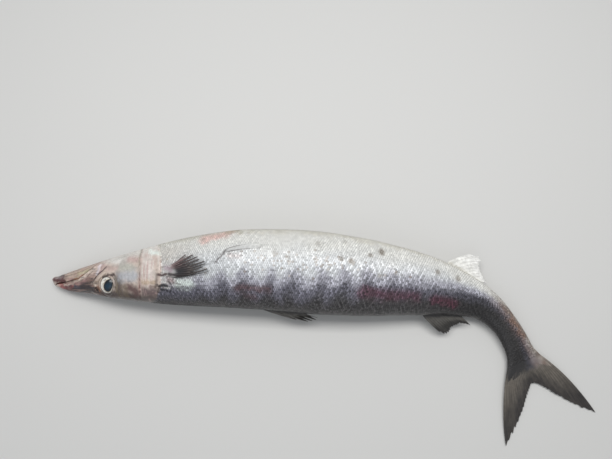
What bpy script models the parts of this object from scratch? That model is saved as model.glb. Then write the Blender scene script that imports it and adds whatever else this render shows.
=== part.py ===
"""A barracuda, life size, lying on its left flank as a caught fish comes to rest.

Metres, +Z up. The head points to -X, the back to -Y and the belly to +Y, with the right flank up.
The origin is on the floor, under the middle of the whole fish.

The body is worked out in fish coordinates and then laid along a bent spine:
  u    share of the standard length, 0 at the tip of the lower jaw, 1 at the root of the tail fin
  v    height in metres from the spine line towards the back, negative towards the belly
  w    metres from the spine line towards the right flank
  phi  angle round the section, 0 on the back, 90 degrees on the right flank, 180 on the belly
"""

import math

import bmesh
import bpy
import numpy as np

# Driving sizes in metres. BOX_MIDDLE is the middle of the whole fish in plan, from the middle of its spine.
LENGTH = 0.66
BOX_MIDDLE = (0.0271, -0.0786)
GAP = 0.0003
SPINE_STEPS = 1300
SPINE_END = 1.30

# Body outline: stations along the body, then shares of the length
STATIONS = (
    0, 0.010, 0.02, 0.05, 0.10, 0.14, 0.20, 0.27, 0.34, 0.42, 0.52, 0.62,
    0.70, 0.76, 0.82, 0.88, 0.94, 0.98, 1,
)
BACK = (
    0.0015, 0.0042, 0.0082, 0.0165, 0.0270, 0.0345, 0.0455, 0.0560, 0.0635, 0.0690, 0.0715, 0.0680, 0.0605,
    0.0530, 0.0425, 0.0310, 0.0250, 0.0265, 0.0295,
)
BELLY = (
    0.0035, 0.0085, 0.0115, 0.0205, 0.0335, 0.0430, 0.0560, 0.0690, 0.0775, 0.0840, 0.0875, 0.0815, 0.0705,
    0.0600, 0.0460, 0.0325, 0.0255, 0.0265, 0.0295,
)
FLANK = (
    0.0035, 0.0075, 0.0105, 0.0165, 0.0250, 0.0315, 0.0400, 0.0470, 0.0520, 0.0560, 0.0575, 0.0545, 0.0485,
    0.0415, 0.0325, 0.0230, 0.0160, 0.0115, 0.0080,
)

# Squareness of the section: 2 is an ellipse, more is boxier
SQUARE_STATIONS = (0, 0.05, 0.14, 0.22, 0.30, 0.60, 1)
BACK_SQUARE = (2.0, 2.5, 3.0, 2.6, 2.25, 2.1, 2.0)
BELLY_SQUARE = (2.0, 2.2, 2.0, 1.95, 2.1, 2.15, 2.0)

# Pose: heading of the spine in the floor plane, roll of the body with its back down, and how far the
# left flank clears the floor, negative where the soft flank is pressed flat
BEND_STATIONS = (0, 0.30, 0.50, 0.66, 0.76, 0.84, 0.91, 1, 1.3)
BEND_DEGREES = (0, 3.5, -4.3, -4.8, -9, -19.5, -46, -68, -74)
ROLL_STATIONS = (0, 0.74, 0.94, 1.3)
ROLL_DEGREES = (6.5, 6.5, 0, 0)
CLEAR_STATIONS = (0, 0.14, 0.24, 0.375, 0.47, 0.78, 0.88, 1.0)
CLEARANCE = (0.0014, 0.0026, 0.0021, 0.0023, -0.0026, -0.0026, -0.0004, 0.0012)
TAIL_DROOP_STATIONS = (1.0, 1.05, 1.12, 1.3)
TAIL_DROOP = (0.0065, 0.0042, 0.0022, 0.0014)

# Mouth line, as height above the spine line in shares of the length. Below it is the lower jaw.
MOUTH_STATIONS = (
    0, 0.0085, 0.0125, 0.018, 0.0315, 0.045, 0.060, 0.0755, 0.0855, 0.0956, 0.104, 0.114, 0.127, 0.15,
)
MOUTH_HEIGHT = (
    0.02, 0.0105, 0.0046, 0.0042, 0.0029, 0.0008, -0.0014, -0.0057, -0.0112, -0.0175, -0.0235, -0.0300,
    -0.0390, -0.06,
)
MOUTH_CORNER = 0.106
SNOUT_START = 0.0125
JAW_END = 0.1275
LIP_CROWDING = 0.34
LIP_BEAD = 0.0010
LIP_WIDTH = 0.0018
MAXILLA_RISE = 0.0006
MAXILLA_WIDTH = 0.0055

# Eyes: place, radius and bulge of the ball, and the fleshy rim round it
EYE_U = 0.141
EYE_HEIGHT = 0.0100 * LENGTH
EYE_RADIUS = 0.0114
EYE_BULGE = 0.0033
RIM_RADIUS = 0.0113
RIM_THICK = 0.0011

# Nostrils: two small pits on each side in front of the eye
NOSTRILS = ((0.1150, 0.0165), (0.1205, 0.0185))
NOSTRIL_RADIUS = 0.0012

# Gill covers: bony plates let into the cheek, standing a little proud at the rear
GILL_REACH = 0.2530
GILL_SWEEP = 0.034
GILL_PEAK = math.radians(104)
CHEEK_EDGE = 0.2095
CHEEK_SWEEP = 0.010
CHEEK_PEAK = math.radians(100)
PLATE_TOP = math.radians(42)
PLATE_FOOT = math.radians(156)
PLATE_RECESS = 0.0015
PLATE_PROUD = 0.0008
PLATE_OVERHANG = 0.0045

# The body is parted into trunk and tail stock just ahead of the rear fins, and again behind them
TAIL_STOCK_START = 0.745
PEDUNCLE_START = 0.880

# Skins' colours and finish: base colour, roughness, metallic
SILVER = ((0.56, 0.57, 0.58), 0.30, 0.35)
HEAD_SKIN = ((0.47, 0.40, 0.36), 0.35, 0.15)
JAW_SKIN = ((0.50, 0.36, 0.32), 0.38, 0.05)
PLATE_SKIN = ((0.60, 0.50, 0.46), 0.28, 0.30)
EYE_GLOSS = ((0.62, 0.60, 0.52), 0.10, 0.05)
DARK_FIN = ((0.10, 0.10, 0.095), 0.45, 0.0)
PALE_FIN = ((0.66, 0.66, 0.61), 0.45, 0.0)
GREY_FIN = ((0.20, 0.19, 0.17), 0.45, 0.0)


def smooth(stations, values, at):
    """Smooth curve through the stations, whose slopes are limited so that it never overshoots."""
    x = np.asarray(stations, float)
    y = np.asarray(values, float)
    at = np.clip(np.asarray(at, float), x[0], x[-1])
    step = np.diff(x)
    rise = np.diff(y) / step
    slope = np.zeros_like(y)
    same_way = rise[:-1] * rise[1:] > 0
    total = np.where(same_way, rise[:-1] + rise[1:], 1)
    slope[1:-1] = np.where(same_way, 2 * rise[:-1] * rise[1:] / total, 0)
    slope[0], slope[-1] = rise[0], rise[-1]
    i = np.clip(np.searchsorted(x, at) - 1, 0, len(x) - 2)
    t = (at - x[i]) / step[i]
    ends = (2 * t**3 - 3 * t**2 + 1) * y[i] + (3 * t**2 - 2 * t**3) * y[i + 1]
    return ends + step[i] * ((t**3 - 2 * t**2 + t) * slope[i] + (t**3 - t**2) * slope[i + 1])


def ramp(low, high, value):
    """0 below low, 1 above high, and smooth between."""
    t = np.clip((value - low) / (high - low), 0, 1)
    return t * t * (3 - 2 * t)


def spine_table():
    """Points and cross directions of the bent spine at even steps of u."""
    u = np.linspace(0, SPINE_END, SPINE_STEPS + 1)
    step = u[1] * LENGTH
    heading = np.radians(smooth(BEND_STATIONS, BEND_DEGREES, u))
    roll = np.radians(smooth(ROLL_STATIONS, ROLL_DEGREES, u))[:, None]
    v, w = section(u[:, None], np.linspace(-math.pi, 0, 60)[None, :])
    body = -(w * np.cos(roll) - v * np.sin(roll)).min(axis=1) + smooth(CLEAR_STATIONS, CLEARANCE, u)
    height = np.where(u <= 1, body, smooth(TAIL_DROOP_STATIONS, TAIL_DROOP, u))
    level = np.sqrt(1 - np.gradient(height, step) ** 2)
    across = np.stack([np.cos(heading) * level, np.sin(heading) * level], axis=1)
    plan = np.vstack([[0, 0], np.cumsum((across[1:] + across[:-1]) / 2 * step, axis=0)])
    plan -= plan[np.searchsorted(u, 0.5)] + BOX_MIDDLE
    points = np.column_stack([plan, height])
    along = np.gradient(points, step, axis=0)
    along /= np.linalg.norm(along, axis=1)[:, None]
    up = np.array([0.0, 0.0, 1.0])
    right = up - (along @ up)[:, None] * along
    right /= np.linalg.norm(right, axis=1)[:, None]
    back = np.cross(along, right)
    return u, points, np.cos(roll) * back - np.sin(roll) * right, np.cos(roll) * right + np.sin(roll) * back


def place(u, v, w):
    """Fish coordinates to the world, one point for each entry of the arrays."""
    u, v, w = np.broadcast_arrays(u, v, w)

    def read(table):
        return np.stack([np.interp(u, SPINE_U, table[:, axis]) for axis in range(3)], axis=-1)

    return read(SPINE_POINTS) + v[..., None] * read(SPINE_BACK) + w[..., None] * read(SPINE_RIGHT)


def body_sizes(u):
    """Back height, belly height and half width in metres at u."""
    return tuple(smooth(STATIONS, row, u) * LENGTH for row in (BACK, BELLY, FLANK))


def squareness(u):
    return smooth(SQUARE_STATIONS, BACK_SQUARE, u), smooth(SQUARE_STATIONS, BELLY_SQUARE, u)


def section(u, phi, out=0.0):
    """Height and width of the body's surface at the angle phi, moved outwards by out."""
    back, belly, flank = body_sizes(u)
    power_back, power_belly = squareness(u)
    up, side = np.cos(phi), np.sin(phi)
    tall = np.where(up >= 0, back, belly)
    power = 2 / np.where(up >= 0, power_back, power_belly)
    v = np.sign(up) * tall * np.abs(up) ** power
    w = np.sign(side) * flank * np.abs(side) ** power
    normal_v, normal_w = up / tall, side / flank
    size = np.hypot(normal_v, normal_w)
    return v + out * normal_v / size, w + out * normal_w / size


SPINE_U, SPINE_POINTS, SPINE_BACK, SPINE_RIGHT = spine_table()


def angle_at(u, v):
    """The angle on the right flank where the surface has the height v."""
    back, belly, _ = body_sizes(u)
    power_back, power_belly = squareness(u)
    share = np.where(v >= 0, v / back, -v / belly)
    power = np.where(v >= 0, power_back, power_belly) / 2
    cosine = np.sign(v) * np.clip(share, 0, 1) ** power
    return np.arccos(np.clip(cosine, -1, 1))


def gill_edge(phi):
    """Rear edge of the head at the angle phi: furthest back on the flank."""
    return GILL_REACH - GILL_SWEEP * (1 - np.cos(np.abs(phi) - GILL_PEAK))


def cheek_edge(phi):
    """Front edge of the gill cover."""
    return CHEEK_EDGE - CHEEK_SWEEP * (1 - np.cos(np.abs(phi) - CHEEK_PEAK))


def plate_recess(u, phi):
    """Depth of the shallow bed that each gill cover lies in."""
    turn = np.abs(phi)
    along = ramp(-0.006, -0.001, u - cheek_edge(turn)) * ramp(-0.016, -0.010, gill_edge(turn) - u)
    round_body = ramp(PLATE_TOP - 0.22, PLATE_TOP - 0.05, turn) * ramp(0.05, 0.22, PLATE_FOOT + 0.22 - turn)
    return PLATE_RECESS * along * round_body


def relief(u, phi):
    """How far the surface stands out from the plain section: lips, brow and gill bed."""
    v, _ = section(u, phi)
    from_mouth = v - smooth(MOUTH_STATIONS, MOUTH_HEIGHT, u) * LENGTH
    gape = ramp(0.005, 0.02, u) * ramp(-0.004, 0.012, MOUTH_CORNER - u)
    lips = LIP_BEAD * np.exp(-((from_mouth / LIP_WIDTH) ** 2)) * gape
    maxilla = MAXILLA_RISE * ramp(-0.0005, 0.0005, from_mouth)
    maxilla = maxilla * ramp(-0.0012, 0.0, MAXILLA_WIDTH - from_mouth)
    maxilla = maxilla * ramp(0.03, 0.07, u) * ramp(-0.006, 0.004, MOUTH_CORNER - u)
    return lips + maxilla - plate_recess(u, phi)


def wrapped(phi):
    """The same angle between -180 and 180 degrees."""
    return (phi + math.pi) % (2 * math.pi) - math.pi


def on_floor(points):
    """Presses what would pass through the floor flat against it."""
    points[..., 2] = np.maximum(points[..., 2], 0.0)
    return points


def link(name, mesh, finish):
    """Puts a mesh in the model's collection with its own material."""
    colour, roughness, metallic = finish
    material = bpy.data.materials.new(name)
    material.use_nodes = True
    shader = material.node_tree.nodes["Principled BSDF"]
    shader.inputs["Base Color"].default_value = (*colour, 1)
    shader.inputs["Roughness"].default_value = roughness
    shader.inputs["Metallic"].default_value = metallic
    mesh.materials.append(material)
    mesh.shade_smooth()
    mesh.set_sharp_from_angle(angle=math.radians(40))
    obj = bpy.data.objects.new(name, mesh)
    bpy.data.collections["barracuda"].objects.link(obj)
    return obj


def mesh_from(name, points, faces):
    """A closed mesh whose faces point outwards."""
    mesh = bpy.data.meshes.new(name)
    mesh.from_pydata([tuple(point) for point in points], [], faces)
    work = bmesh.new()
    work.from_mesh(mesh)
    bmesh.ops.recalc_face_normals(work, faces=work.faces)
    work.to_mesh(mesh)
    work.free()
    return mesh


def loft(name, rings, finish):
    """Closed body through rings of equal point counts, each end closed by a fan to its middle."""
    count, around = rings.shape[:2]
    points = [*rings.reshape(-1, 3), rings[0].mean(axis=0), rings[-1].mean(axis=0)]
    faces = []
    for i in range(count - 1):
        for j in range(around):
            k = (j + 1) % around
            faces.append((i * around + j, i * around + k, (i + 1) * around + k, (i + 1) * around + j))
    first, last = count * around, count * around + 1
    for j in range(around):
        k = (j + 1) % around
        faces.append((k, j, first))
        faces.append(((count - 1) * around + j, (count - 1) * around + k, last))
    return link(name, mesh_from(name, points, faces), finish)


def sheet_solid(name, front, back, finish):
    """Closed thin solid between two grids of points, split into triangles alike on both faces."""
    rows, columns = front.shape[:2]
    size = rows * columns
    points = [*front.reshape(-1, 3), *back.reshape(-1, 3)]
    faces = []

    def quad(a, b, c, d):
        faces.append((a, b, c))
        faces.append((a, c, d))

    for i in range(rows - 1):
        for j in range(columns - 1):
            a = i * columns + j
            corners = (a, a + 1, a + columns + 1, a + columns)
            quad(*corners)
            faces.append(tuple(size + n for n in (corners[0], corners[2], corners[1])))
            faces.append(tuple(size + n for n in (corners[0], corners[3], corners[2])))
    rim = [j for j in range(columns)]
    rim += [i * columns + columns - 1 for i in range(1, rows)]
    rim += [(rows - 1) * columns + j for j in range(columns - 2, -1, -1)]
    rim += [i * columns for i in range(rows - 2, 0, -1)]
    for a, b in zip(rim, rim[1:] + rim[:1]):
        quad(b, a, size + a, size + b)
    return link(name, mesh_from(name, points, faces), finish)


def clipped_ring(u, low, high, arc_points, chord_points):
    """Section from the angle low to the angle high, with its points closer at the lips, closed by a straight
    chord across the mouth."""
    t = np.linspace(-1, 1, arc_points)
    phi = (low + high) / 2 + (high - low) / 2 * t * (1 + LIP_CROWDING * (1 - t**2))
    v, w = section(u, phi, relief(u, wrapped(phi)))
    t = np.arange(1, chord_points + 1) / (chord_points + 1)
    v = np.append(v, v[-1] + (v[0] - v[-1]) * t)
    w = np.append(w, w[-1] + (w[0] - w[-1]) * t)
    return v, w


def head():
    """Skull, cheeks and upper jaw, from the snout to the gill edge, with the mouth line as its lower edge."""
    arc, chord = 35, 3
    tip = [SNOUT_START, 0.0142, 0.0170, 0.022]
    stations = np.concatenate([tip, np.linspace(0.03, 0.13, 13), np.linspace(0.138, 0.2, 9), [0.206]])
    rings = []
    for u in stations:
        cut = smooth(MOUTH_STATIONS, MOUTH_HEIGHT, u) * LENGTH + GAP
        turn = min(float(angle_at(u, cut)), math.pi - 0.03)
        rings.append(place(u, *clipped_ring(u, -turn, turn, arc, chord)))
    full = math.pi - 0.03
    phi = np.append(np.linspace(-full, full, arc), full + 0.06 * np.arange(1, chord + 1) / (chord + 1))
    phi = wrapped(phi)
    for share in (0.15, 0.4, 0.7, 1.0):
        u = stations[-1] + (gill_edge(phi) - GAP / LENGTH / 2 - stations[-1]) * share
        rings.append(place(u, *section(u, phi, relief(u, phi))))
    u_edge = gill_edge(phi) - GAP / LENGTH / 2
    v, w = section(u_edge, phi, relief(u_edge, phi))
    middle = u_edge.mean()
    rings.append(place(middle + (u_edge - middle) * 0.5, v * 0.5, w * 0.5))
    made = loft("head", on_floor(np.array(rings)), HEAD_SKIN)
    combine(made, [orbit_rim(side) for side in (1, -1)], "UNION")
    combine(made, [eye_ball(side, GAP, 20, 12) for side in (1, -1)] + nostril_pits(), "DIFFERENCE")
    return made


def lower_jaw():
    """Lower jaw, whose blunt tip reaches past the snout and whose rear end slants up under the eye."""
    arc, chord = 19, 5
    front = [0.0003, 0.003, 0.0075, 0.0105, 0.0128, 0.0155, 0.02]
    stations = np.concatenate([front, np.linspace(0.03, JAW_END, 15)])
    rings = []
    for u in stations:
        back = float(body_sizes(u)[0])
        cut = min(float(smooth(MOUTH_STATIONS, MOUTH_HEIGHT, u)) * LENGTH - GAP / 2, 0.985 * back)
        turn = float(angle_at(u, cut))
        rings.append(place(u, *clipped_ring(u, turn, 2 * math.pi - turn, arc, chord)))
    return loft("lower_jaw", on_floor(np.array(rings)), JAW_SKIN)


def gill_cover(name, side):
    """Bony plate over the gills, in its bed on the cheek, with a rounded rear edge."""
    rows, columns = 11, 15
    t = np.linspace(0, 1, rows)[:, None]
    share = np.linspace(0, 1, columns)[None, :]
    top = PLATE_TOP + math.radians(16) * t**3
    foot = PLATE_FOOT - math.radians(22) * t**3
    phi = top + (foot - top) * share
    start = cheek_edge(phi) + 0.0015
    u = start + (gill_edge(phi) + PLATE_OVERHANG - start) * t
    under = relief(u, phi) + GAP + 0.00008
    edge = np.minimum(np.minimum(share, 1 - share) * 9, 1) * np.minimum((1 - t) * 7, 1)
    over = PLATE_PROUD * ramp(0, 1, t) - 0.0005 * (1 - edge)
    faces = []
    for out in (over, under):
        v, w = section(u, phi, out)
        faces.append(place(u, v, side * w))
    return sheet_solid(name, *faces, PLATE_SKIN)


def orbit(side, around, radius, out=0.0):
    """Points on the skin round an eye: ahead at 0, then up, behind and below."""
    u = EYE_U - radius * np.cos(around) / LENGTH
    v, w = section(u, angle_at(u, EYE_HEIGHT + radius * np.sin(around)), out)
    return place(u, v, side * w)


def eye_place(side):
    """Centre of an eye, amid the skin round it, and its outward axis."""
    ahead, above, behind, below = orbit(side, np.linspace(0, 1.5 * math.pi, 4), RIM_RADIUS)
    axis = side * np.cross(ahead - behind, above - below)
    return (ahead + above + behind + below) / 4, axis / np.linalg.norm(axis)


def eye_ball(side, swell, segments, rings):
    """Lens-shaped ball on the eye's axis, grown by swell when it serves as the socket's cutter."""
    centre, axis = eye_place(side)
    bpy.ops.mesh.primitive_uv_sphere_add(segments=segments, ring_count=rings, radius=1)
    ball = bpy.context.object
    across = np.cross(axis, place(EYE_U + 0.01, 0, 0) - place(EYE_U, 0, 0))
    across /= np.linalg.norm(across)
    radius, depth = EYE_RADIUS + swell, EYE_BULGE + swell
    points = np.empty(len(ball.data.vertices) * 3)
    ball.data.vertices.foreach_get("co", points)
    points = points.reshape(-1, 3)
    turned = np.outer(points[:, 0] * radius, across) + np.outer(points[:, 1] * radius, np.cross(axis, across))
    turned += np.outer(points[:, 2] * depth, axis) + centre
    ball.data.vertices.foreach_set("co", turned.ravel())
    return ball


def eye(name, side):
    """An eye as its own body in its socket."""
    ball = eye_ball(side, 0, 20, 12)
    mesh = ball.data.copy()
    bpy.data.objects.remove(ball)
    return link(name, mesh, EYE_GLOSS)


def nostril_pits():
    """Small round cutters for the nostrils on both sides."""
    pits = []
    for side in (1, -1):
        for u, height in NOSTRILS:
            v, w = section(u, angle_at(u, height * LENGTH))
            bpy.ops.mesh.primitive_uv_sphere_add(
                segments=10, ring_count=6, radius=NOSTRIL_RADIUS, location=tuple(place(u, v, side * w))
            )
            pits.append(bpy.context.object)
    return pits


def orbit_rim(side):
    """Raised rim round the eye: a ring whose path follows the skin."""
    around = np.linspace(0, 2 * math.pi, 28, endpoint=False)[:, None]
    tube = np.linspace(0, 2 * math.pi, 6, endpoint=False)[None, :]
    points = orbit(side, around, RIM_RADIUS + RIM_THICK * np.cos(tube), RIM_THICK * np.sin(tube))
    rows, columns = points.shape[:2]
    faces = []
    for i in range(rows):
        for j in range(columns):
            corners = ((i, j), (i + 1, j), (i + 1, j + 1), (i, j + 1))
            faces.append(tuple((a % rows) * columns + b % columns for a, b in corners))
    rim = bpy.data.objects.new("orbit_rim", mesh_from("orbit_rim", points.reshape(-1, 3), faces))
    bpy.context.scene.collection.objects.link(rim)
    return rim


def combine(obj, others, operation):
    """Joins the others to the object or cuts them out of it, and removes them."""
    for other in others:
        other.hide_render = True
        other.display_type = "WIRE"
        step = obj.modifiers.new("combine", "BOOLEAN")
        step.operation = operation
        step.object = other
        bpy.context.view_layer.objects.active = obj
        bpy.ops.object.modifier_apply(modifier=step.name)
        bpy.data.objects.remove(other)


def body_ring(u, phi):
    return place(u, *section(u, phi, relief(u, phi)))


def trunk():
    """Body from the gill edge to just ahead of the rear fins, its left flank pressed flat where it rests."""
    phi = wrapped(np.linspace(0, 2 * math.pi, 36, endpoint=False))
    start = gill_edge(phi) + GAP / LENGTH / 2
    v, w = section(start, phi, relief(start, phi))
    middle = start.mean()
    rings = [place(middle + (start - middle) * 0.5, v * 0.5, w * 0.5)]
    for reach in (0, 0.006, 0.010, 0.016, 0.024):
        u = start + reach
        rings.append(body_ring(u, phi))
    front = start + 0.024
    for share in np.linspace(0, 1, 22)[1:]:
        u = front + (TAIL_STOCK_START - GAP / LENGTH / 2 - front) * share
        rings.append(body_ring(u, phi))
    return loft("trunk", on_floor(np.array(rings)), SILVER)


def rear_body(name, start, end, count):
    """A length of the narrow rear of the body, bent towards the back."""
    phi = wrapped(np.linspace(0, 2 * math.pi, 28, endpoint=False))
    rings = [body_ring(u, phi) for u in np.linspace(start + GAP / LENGTH / 2, end, count)]
    return loft(name, on_floor(np.array(rings)), SILVER)


def ray_columns(count, shoulders):
    """Columns across a fin: place in rays, ridge height and depth of the notch at the margin, both 0 to 1."""
    rows = []
    for i in range(count):
        rows.append((i, 1.0, 0.0))
        if i == count - 1:
            break
        if shoulders:
            rows += [(i + 0.16, 0.0, 0.35), (i + 0.5, 0.0, 1.0), (i + 0.84, 0.0, 0.35)]
        else:
            rows.append((i + 0.5, 0.0, 1.0))
    place_in_rays, ridge, notch = np.array(rows).T
    return place_in_rays / (count - 1), ridge, notch


def ray_jitter(across, count, amount, seed):
    """Small seeded differences in length from ray to ray, smooth between neighbours."""
    draw = np.random.default_rng(seed).uniform(-amount, amount, count)
    return np.interp(across * (count - 1), np.arange(count), draw)


def thickness(reach, ridge, root, membrane, height):
    """Full thickness of a fin: fleshy at the root, thin membrane beyond, ridges that taper to the tips."""
    fleshy = root * (1 - ramp(0, 0.28, reach))
    return membrane + fleshy + height * ridge * (1 - 0.7 * reach)


def median_fin(name, start, end, edge, length, lean, count, finish, shoulders, notch_depth, droop, seed):
    """Fin in the fish's middle plane. edge is +1 on the back and -1 on the belly, length gives each
    ray's length, and lean its angle from the body line, both as functions of the place along the base."""
    across, ridge, notch = ray_columns(count, shoulders)
    reach = np.linspace(0, 1, 8)[:, None]
    rays = length(across) * (1 - notch_depth * notch + ray_jitter(across, count, 0.035, seed))
    base_u = start + (end - start) * across
    base_v = section(base_u, 0.0)[0] if edge > 0 else -section(base_u, math.pi)[0]
    angle = lean(across) * (1 - 0.22 * reach)
    u = base_u + rays * reach * np.cos(angle) / LENGTH
    v = base_v + GAP + rays * reach * np.sin(angle)
    half = thickness(reach, ridge, 0.0016, 0.0006, 0.0007) / 2
    middle = -droop * reach**2
    return sheet_solid(name, place(u, edge * v, middle + half), place(u, edge * v, middle - half), finish)


def first_dorsal_fin():
    """Five slender spines joined by a notched membrane, folded back low along the back."""

    def length(a):
        return LENGTH * smooth((0, 0.25, 0.5, 0.75, 1), (0.070, 0.072, 0.060, 0.044, 0.026), a)

    def lean(a):
        return np.radians(17 + 3 * a)

    return median_fin("first_dorsal_fin", 0.435, 0.520, 1, length, lean, 5, DARK_FIN, True, 0.30, 0.003, 3)


def second_dorsal_fin():
    """Soft-rayed fin over the tail stock, swept back."""

    def length(a):
        return LENGTH * smooth((0, 0.12, 0.4, 0.8, 1), (0.052, 0.060, 0.042, 0.028, 0.034), a)

    def lean(a):
        return np.radians(smooth((0, 1), (38, 20), a))

    return median_fin("second_dorsal_fin", 0.752, 0.838, 1, length, lean, 10, DARK_FIN, False, 0.07, 0.002, 5)


def anal_fin():
    """Pale soft-rayed fin under the tail stock, with a concave rear margin."""

    def length(a):
        return LENGTH * smooth((0, 0.12, 0.4, 0.8, 1), (0.050, 0.057, 0.039, 0.022, 0.021), a)

    def lean(a):
        return np.radians(smooth((0, 1), (46, 28), a))

    return median_fin("anal_fin", 0.784, 0.852, -1, length, lean, 10, PALE_FIN, False, 0.07, 0.003, 7)


def caudal_fin():
    """Forked tail fin with long pointed lobes, swept back a little at their tips."""
    count = 21
    across, ridge, notch = ray_columns(count, False)
    reach = np.linspace(0, 1, 10)[:, None]
    lobe = 2 * across - 1
    spread = np.abs(lobe)
    rays = LENGTH * (0.056 + 0.106 * spread**1.7)
    rays = rays * (1 - 0.035 * notch + ray_jitter(across, count, 0.018, 11))
    root = 0.93 * section(1.0, 0.0)[0]
    angle = np.sign(lobe) * np.radians(2 + 34 * spread**1.2) * (1 - 0.32 * reach)
    u = 1 + GAP / LENGTH + rays * reach * np.cos(angle) / LENGTH
    v = root * lobe + rays * reach * np.sin(angle)
    half = thickness(reach, ridge, 0.0062, 0.0006, 0.0008) / 2
    return sheet_solid("caudal_fin", place(u, v, half), place(u, v, -half), GREY_FIN)


def pectoral_fin(name, side, lift, seed):
    """Fan of rays lying back along the flank behind the gill cover."""
    count = 13
    across, ridge, notch = ray_columns(count, False)
    reach = np.linspace(0, 1, 8)[:, None]
    rays = LENGTH * smooth((0, 0.2, 0.5, 0.8, 1), (0.078, 0.086, 0.082, 0.067, 0.048), across)
    rays = rays * (1 - 0.10 * notch + ray_jitter(across, count, 0.06, seed))
    angle = np.radians(-15 * (1 - across) * (1 - 1.3 * reach) + 25 * across)
    u = 0.2635 + 0.002 * across + rays * reach * np.cos(angle) / LENGTH
    v = -LENGTH * (0.0020 + 0.0125 * across) - rays * reach * np.sin(angle)
    phi = angle_at(u, v)
    inner = GAP + 0.0001 + lift * ramp(0.05, 1, reach) + 0.0001 * (1 - ridge) * reach
    root, height = (0.0016, 0.0006) if side > 0 else (0.0003, 0.00025)
    outer = inner + thickness(reach, ridge, root, 0.0006, height)
    faces = []
    for out in (outer, inner):
        v_out, w_out = section(u, phi, out)
        faces.append(place(u, v_out, side * w_out))
    return sheet_solid(name, *faces, DARK_FIN)


def pelvic_fin(name, side, seed):
    """Small pale fin lying back along the edge of the belly."""
    count = 6
    across, ridge, notch = ray_columns(count, False)
    reach = np.linspace(0, 1, 7)[:, None]
    rays = LENGTH * smooth((0, 0.3, 1), (0.058, 0.062, 0.046), across)
    rays = rays * (1 - 0.08 * notch + ray_jitter(across, count, 0.04, seed))
    angle = np.radians(6 + 7 * across)
    u = 0.371 + rays * reach * np.cos(angle) / LENGTH
    phi = np.radians(117.5 + 5 * across) + rays * reach * np.sin(angle) / 0.045
    inner = GAP + 0.0001 + 0.0012 * ramp(0.1, 1, reach)
    outer = inner + thickness(reach, ridge, 0.0014, 0.0006, 0.0005)
    faces = []
    for out in (outer, inner):
        v, w = section(u, phi, out)
        faces.append(place(u, v, side * w))
    return sheet_solid(name, *faces, PALE_FIN)


def main():
    for obj in list(bpy.data.objects):
        bpy.data.objects.remove(obj)
    model = bpy.data.collections.new("barracuda")
    bpy.context.scene.collection.children.link(model)
    head()
    lower_jaw()
    gill_cover("gill_cover_right", 1)
    gill_cover("gill_cover_left", -1)
    eye("eye_right", 1)
    eye("eye_left", -1)
    trunk()
    rear_body("tail_stock", TAIL_STOCK_START, PEDUNCLE_START - GAP / LENGTH / 2, 12)
    rear_body("peduncle", PEDUNCLE_START, 1, 11)
    first_dorsal_fin()
    second_dorsal_fin()
    anal_fin()
    caudal_fin()
    pectoral_fin("pectoral_fin_right", 1, 0.0035, 17)
    pectoral_fin("pectoral_fin_left", -1, 0.0, 19)
    pelvic_fin("pelvic_fin_right", 1, 23)
    pelvic_fin("pelvic_fin_left", -1, 29)


main()
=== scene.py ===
"""Looks of a barracuda, life size, lying on its left flank: wet skin, scales, eyes and fins.

Metres, +Z up, head towards -X, back towards -Y, belly towards +Y, right flank up.
Every surface is worked out in fish coordinates and then laid along the bent spine:
  u      share of the standard length, 0 at the tip of the lower jaw, 1 at the root of the tail fin
  v      height from the spine line towards the back, negative towards the belly
  w      distance from the spine line towards the right flank
  phi    angle round the section, 0 on the back, 90 degrees on the right flank, 180 on the belly
  share  the same way round, as a share of the section's real girth, 0 and 1 on the back, 0.5 on the belly
"""

import math

import bpy
import numpy as np
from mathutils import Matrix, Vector


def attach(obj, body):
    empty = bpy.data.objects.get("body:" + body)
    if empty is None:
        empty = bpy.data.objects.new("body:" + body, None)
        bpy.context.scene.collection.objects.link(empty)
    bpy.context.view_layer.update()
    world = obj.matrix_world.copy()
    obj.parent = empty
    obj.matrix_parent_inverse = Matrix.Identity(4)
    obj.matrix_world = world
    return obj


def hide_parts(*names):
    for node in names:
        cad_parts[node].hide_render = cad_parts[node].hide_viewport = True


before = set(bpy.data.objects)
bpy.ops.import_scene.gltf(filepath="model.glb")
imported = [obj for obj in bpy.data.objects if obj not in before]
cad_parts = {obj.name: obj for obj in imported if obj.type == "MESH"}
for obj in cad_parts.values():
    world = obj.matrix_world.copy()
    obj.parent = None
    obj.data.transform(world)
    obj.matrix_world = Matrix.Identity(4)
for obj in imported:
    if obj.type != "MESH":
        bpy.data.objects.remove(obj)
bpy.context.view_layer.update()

# Driving sizes of the body, the same as the solids have
LENGTH = 0.66
BOX_MIDDLE = (0.0271, -0.0786)
SPINE_STEPS = 1300
SPINE_END = 1.30
MM = 0.001

STATIONS = (
    0, 0.010, 0.02, 0.05, 0.10, 0.14, 0.20, 0.27, 0.34, 0.42, 0.52, 0.62, 0.70,
    0.76, 0.82, 0.88, 0.94, 0.98, 1,
)
BACK = (
    0.0015, 0.0042, 0.0082, 0.0165, 0.0270, 0.0345, 0.0455, 0.0560, 0.0635, 0.0690, 0.0715, 0.0680, 0.0605,
    0.0530, 0.0425, 0.0310, 0.0250, 0.0265, 0.0295,
)
BELLY = (
    0.0035, 0.0085, 0.0115, 0.0205, 0.0335, 0.0430, 0.0560, 0.0690, 0.0775, 0.0840, 0.0875, 0.0815, 0.0705,
    0.0600, 0.0460, 0.0325, 0.0255, 0.0265, 0.0295,
)
FLANK = (
    0.0035, 0.0075, 0.0105, 0.0165, 0.0250, 0.0315, 0.0400, 0.0470, 0.0520, 0.0560, 0.0575, 0.0545, 0.0485,
    0.0415, 0.0325, 0.0230, 0.0160, 0.0115, 0.0080,
)
SQUARE_STATIONS = (0, 0.05, 0.14, 0.22, 0.30, 0.60, 1)
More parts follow.
